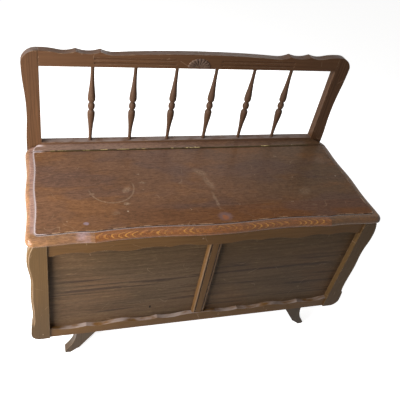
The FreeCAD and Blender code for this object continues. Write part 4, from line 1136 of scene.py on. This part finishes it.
def lay_floor():
    """A wide pale floor whose unshaded part runs into the white of the world."""
    mesh = bpy.data.meshes.new("floor")
    ends = (-FLOOR_HALF, FLOOR_HALF)
    mesh.from_pydata([(x, y, 0) for x in ends for y in ends], [], [(0, 2, 3, 1)])
    floor = new_object("floor", mesh)
    s = cleared(bpy.data.materials.new("floor"))
    watched = watched_rays(s)
    matt = s.add("ShaderNodeBsdfDiffuse", {"Color": s.mix(watched, (0.1, 0.097, 0.093), tint("backdrop"))})
    lift = s.add("ShaderNodeEmission", {"Strength": s.times(watched, 0.88)})
    total = s.add("ShaderNodeAddShader", {0: matt.outputs[0], 1: lift.outputs[0]})
    s.add("ShaderNodeOutputMaterial", {"Surface": total.outputs[0]})
    mesh.materials.append(s.owner)


def watched_rays(s):
    """1 for the rays that see the stage itself: the camera's, and those of gloss and glass."""
    seen = s.add("ShaderNodeLightPath").outputs
    clear = s.math("MAXIMUM", seen["Is Glossy Ray"], seen["Is Transmission Ray"])
    return s.math("MAXIMUM", seen["Is Camera Ray"], clear)


def light_world():
    """Weak warm light from all round, behind a white that the camera and gloss see."""
    world = bpy.data.worlds.new("studio")
    s = cleared(world)
    soft = s.add("ShaderNodeBackground", {"Color": (1.0, 0.96, 0.9, 1), "Strength": 0.06})
    white = s.add("ShaderNodeBackground", {"Color": (1, 1, 1, 1), "Strength": 1.0})
    inputs = {0: watched_rays(s), 1: soft.outputs[0], 2: white.outputs[0]}
    s.add("ShaderNodeOutputWorld", {"Surface": s.add("ShaderNodeMixShader", inputs).outputs[0]})
    bpy.context.scene.world = world


def lamp(name, spot, target, width, power):
    data = bpy.data.lights.new(name, "AREA")
    data.shape = "SQUARE"
    data.size = width
    data.energy = power
    way = Vector(target) - Vector(spot)
    turned = way.to_track_quat("-Z", "Y").to_matrix().to_4x4()
    new_object(name, data).matrix_world = Matrix.Translation(spot) @ turned


OPERATORS = (
    SETTLE_OT_camera, SETTLE_OT_lid, SETTLE_OT_front, SETTLE_OT_panels, SETTLE_OT_sides,
    SETTLE_OT_back_frame, SETTLE_OT_spindles, SETTLE_OT_shell, SETTLE_OT_feet, SETTLE_OT_inside,
    SETTLE_OT_hinge, SETTLE_OT_screws, SETTLE_OT_dowels, SETTLE_OT_stage,
)


class SETTLE_PT_bench(bpy.types.Panel):
    """Sizes, colours and pieces of the settle bench"""

    bl_idname = "SETTLE_PT_bench"
    bl_label = "Settle bench"
    bl_space_type = "VIEW_3D"
    bl_region_type = "UI"
    bl_category = "Settle"

    def draw(self, context):
        for group in (context.scene.settle_sizes, context.scene.settle_colours):
            column = self.layout.column(align=True)
            for item in group.bl_rna.properties:
                if item.identifier not in ("rna_type", "name"):
                    column.prop(group, item.identifier)
        column = self.layout.column(align=True)
        for operator in OPERATORS:
            column.operator(operator.bl_idname)


CLASSES = (SettleColours, SettleSizes, *OPERATORS, SETTLE_PT_bench)


def register():
    for cls in CLASSES:
        bpy.utils.register_class(cls)
    bpy.types.Scene.settle_colours = bpy.props.PointerProperty(type=SettleColours)
    bpy.types.Scene.settle_sizes = bpy.props.PointerProperty(type=SettleSizes)


def unregister():
    del bpy.types.Scene.settle_colours, bpy.types.Scene.settle_sizes
    for cls in reversed(CLASSES):
        bpy.utils.unregister_class(cls)


def main():
    register()
    for operator in OPERATORS:
        getattr(bpy.ops.settle, operator.bl_idname.split(".")[1])()


if __name__ == "__main__":
    main()
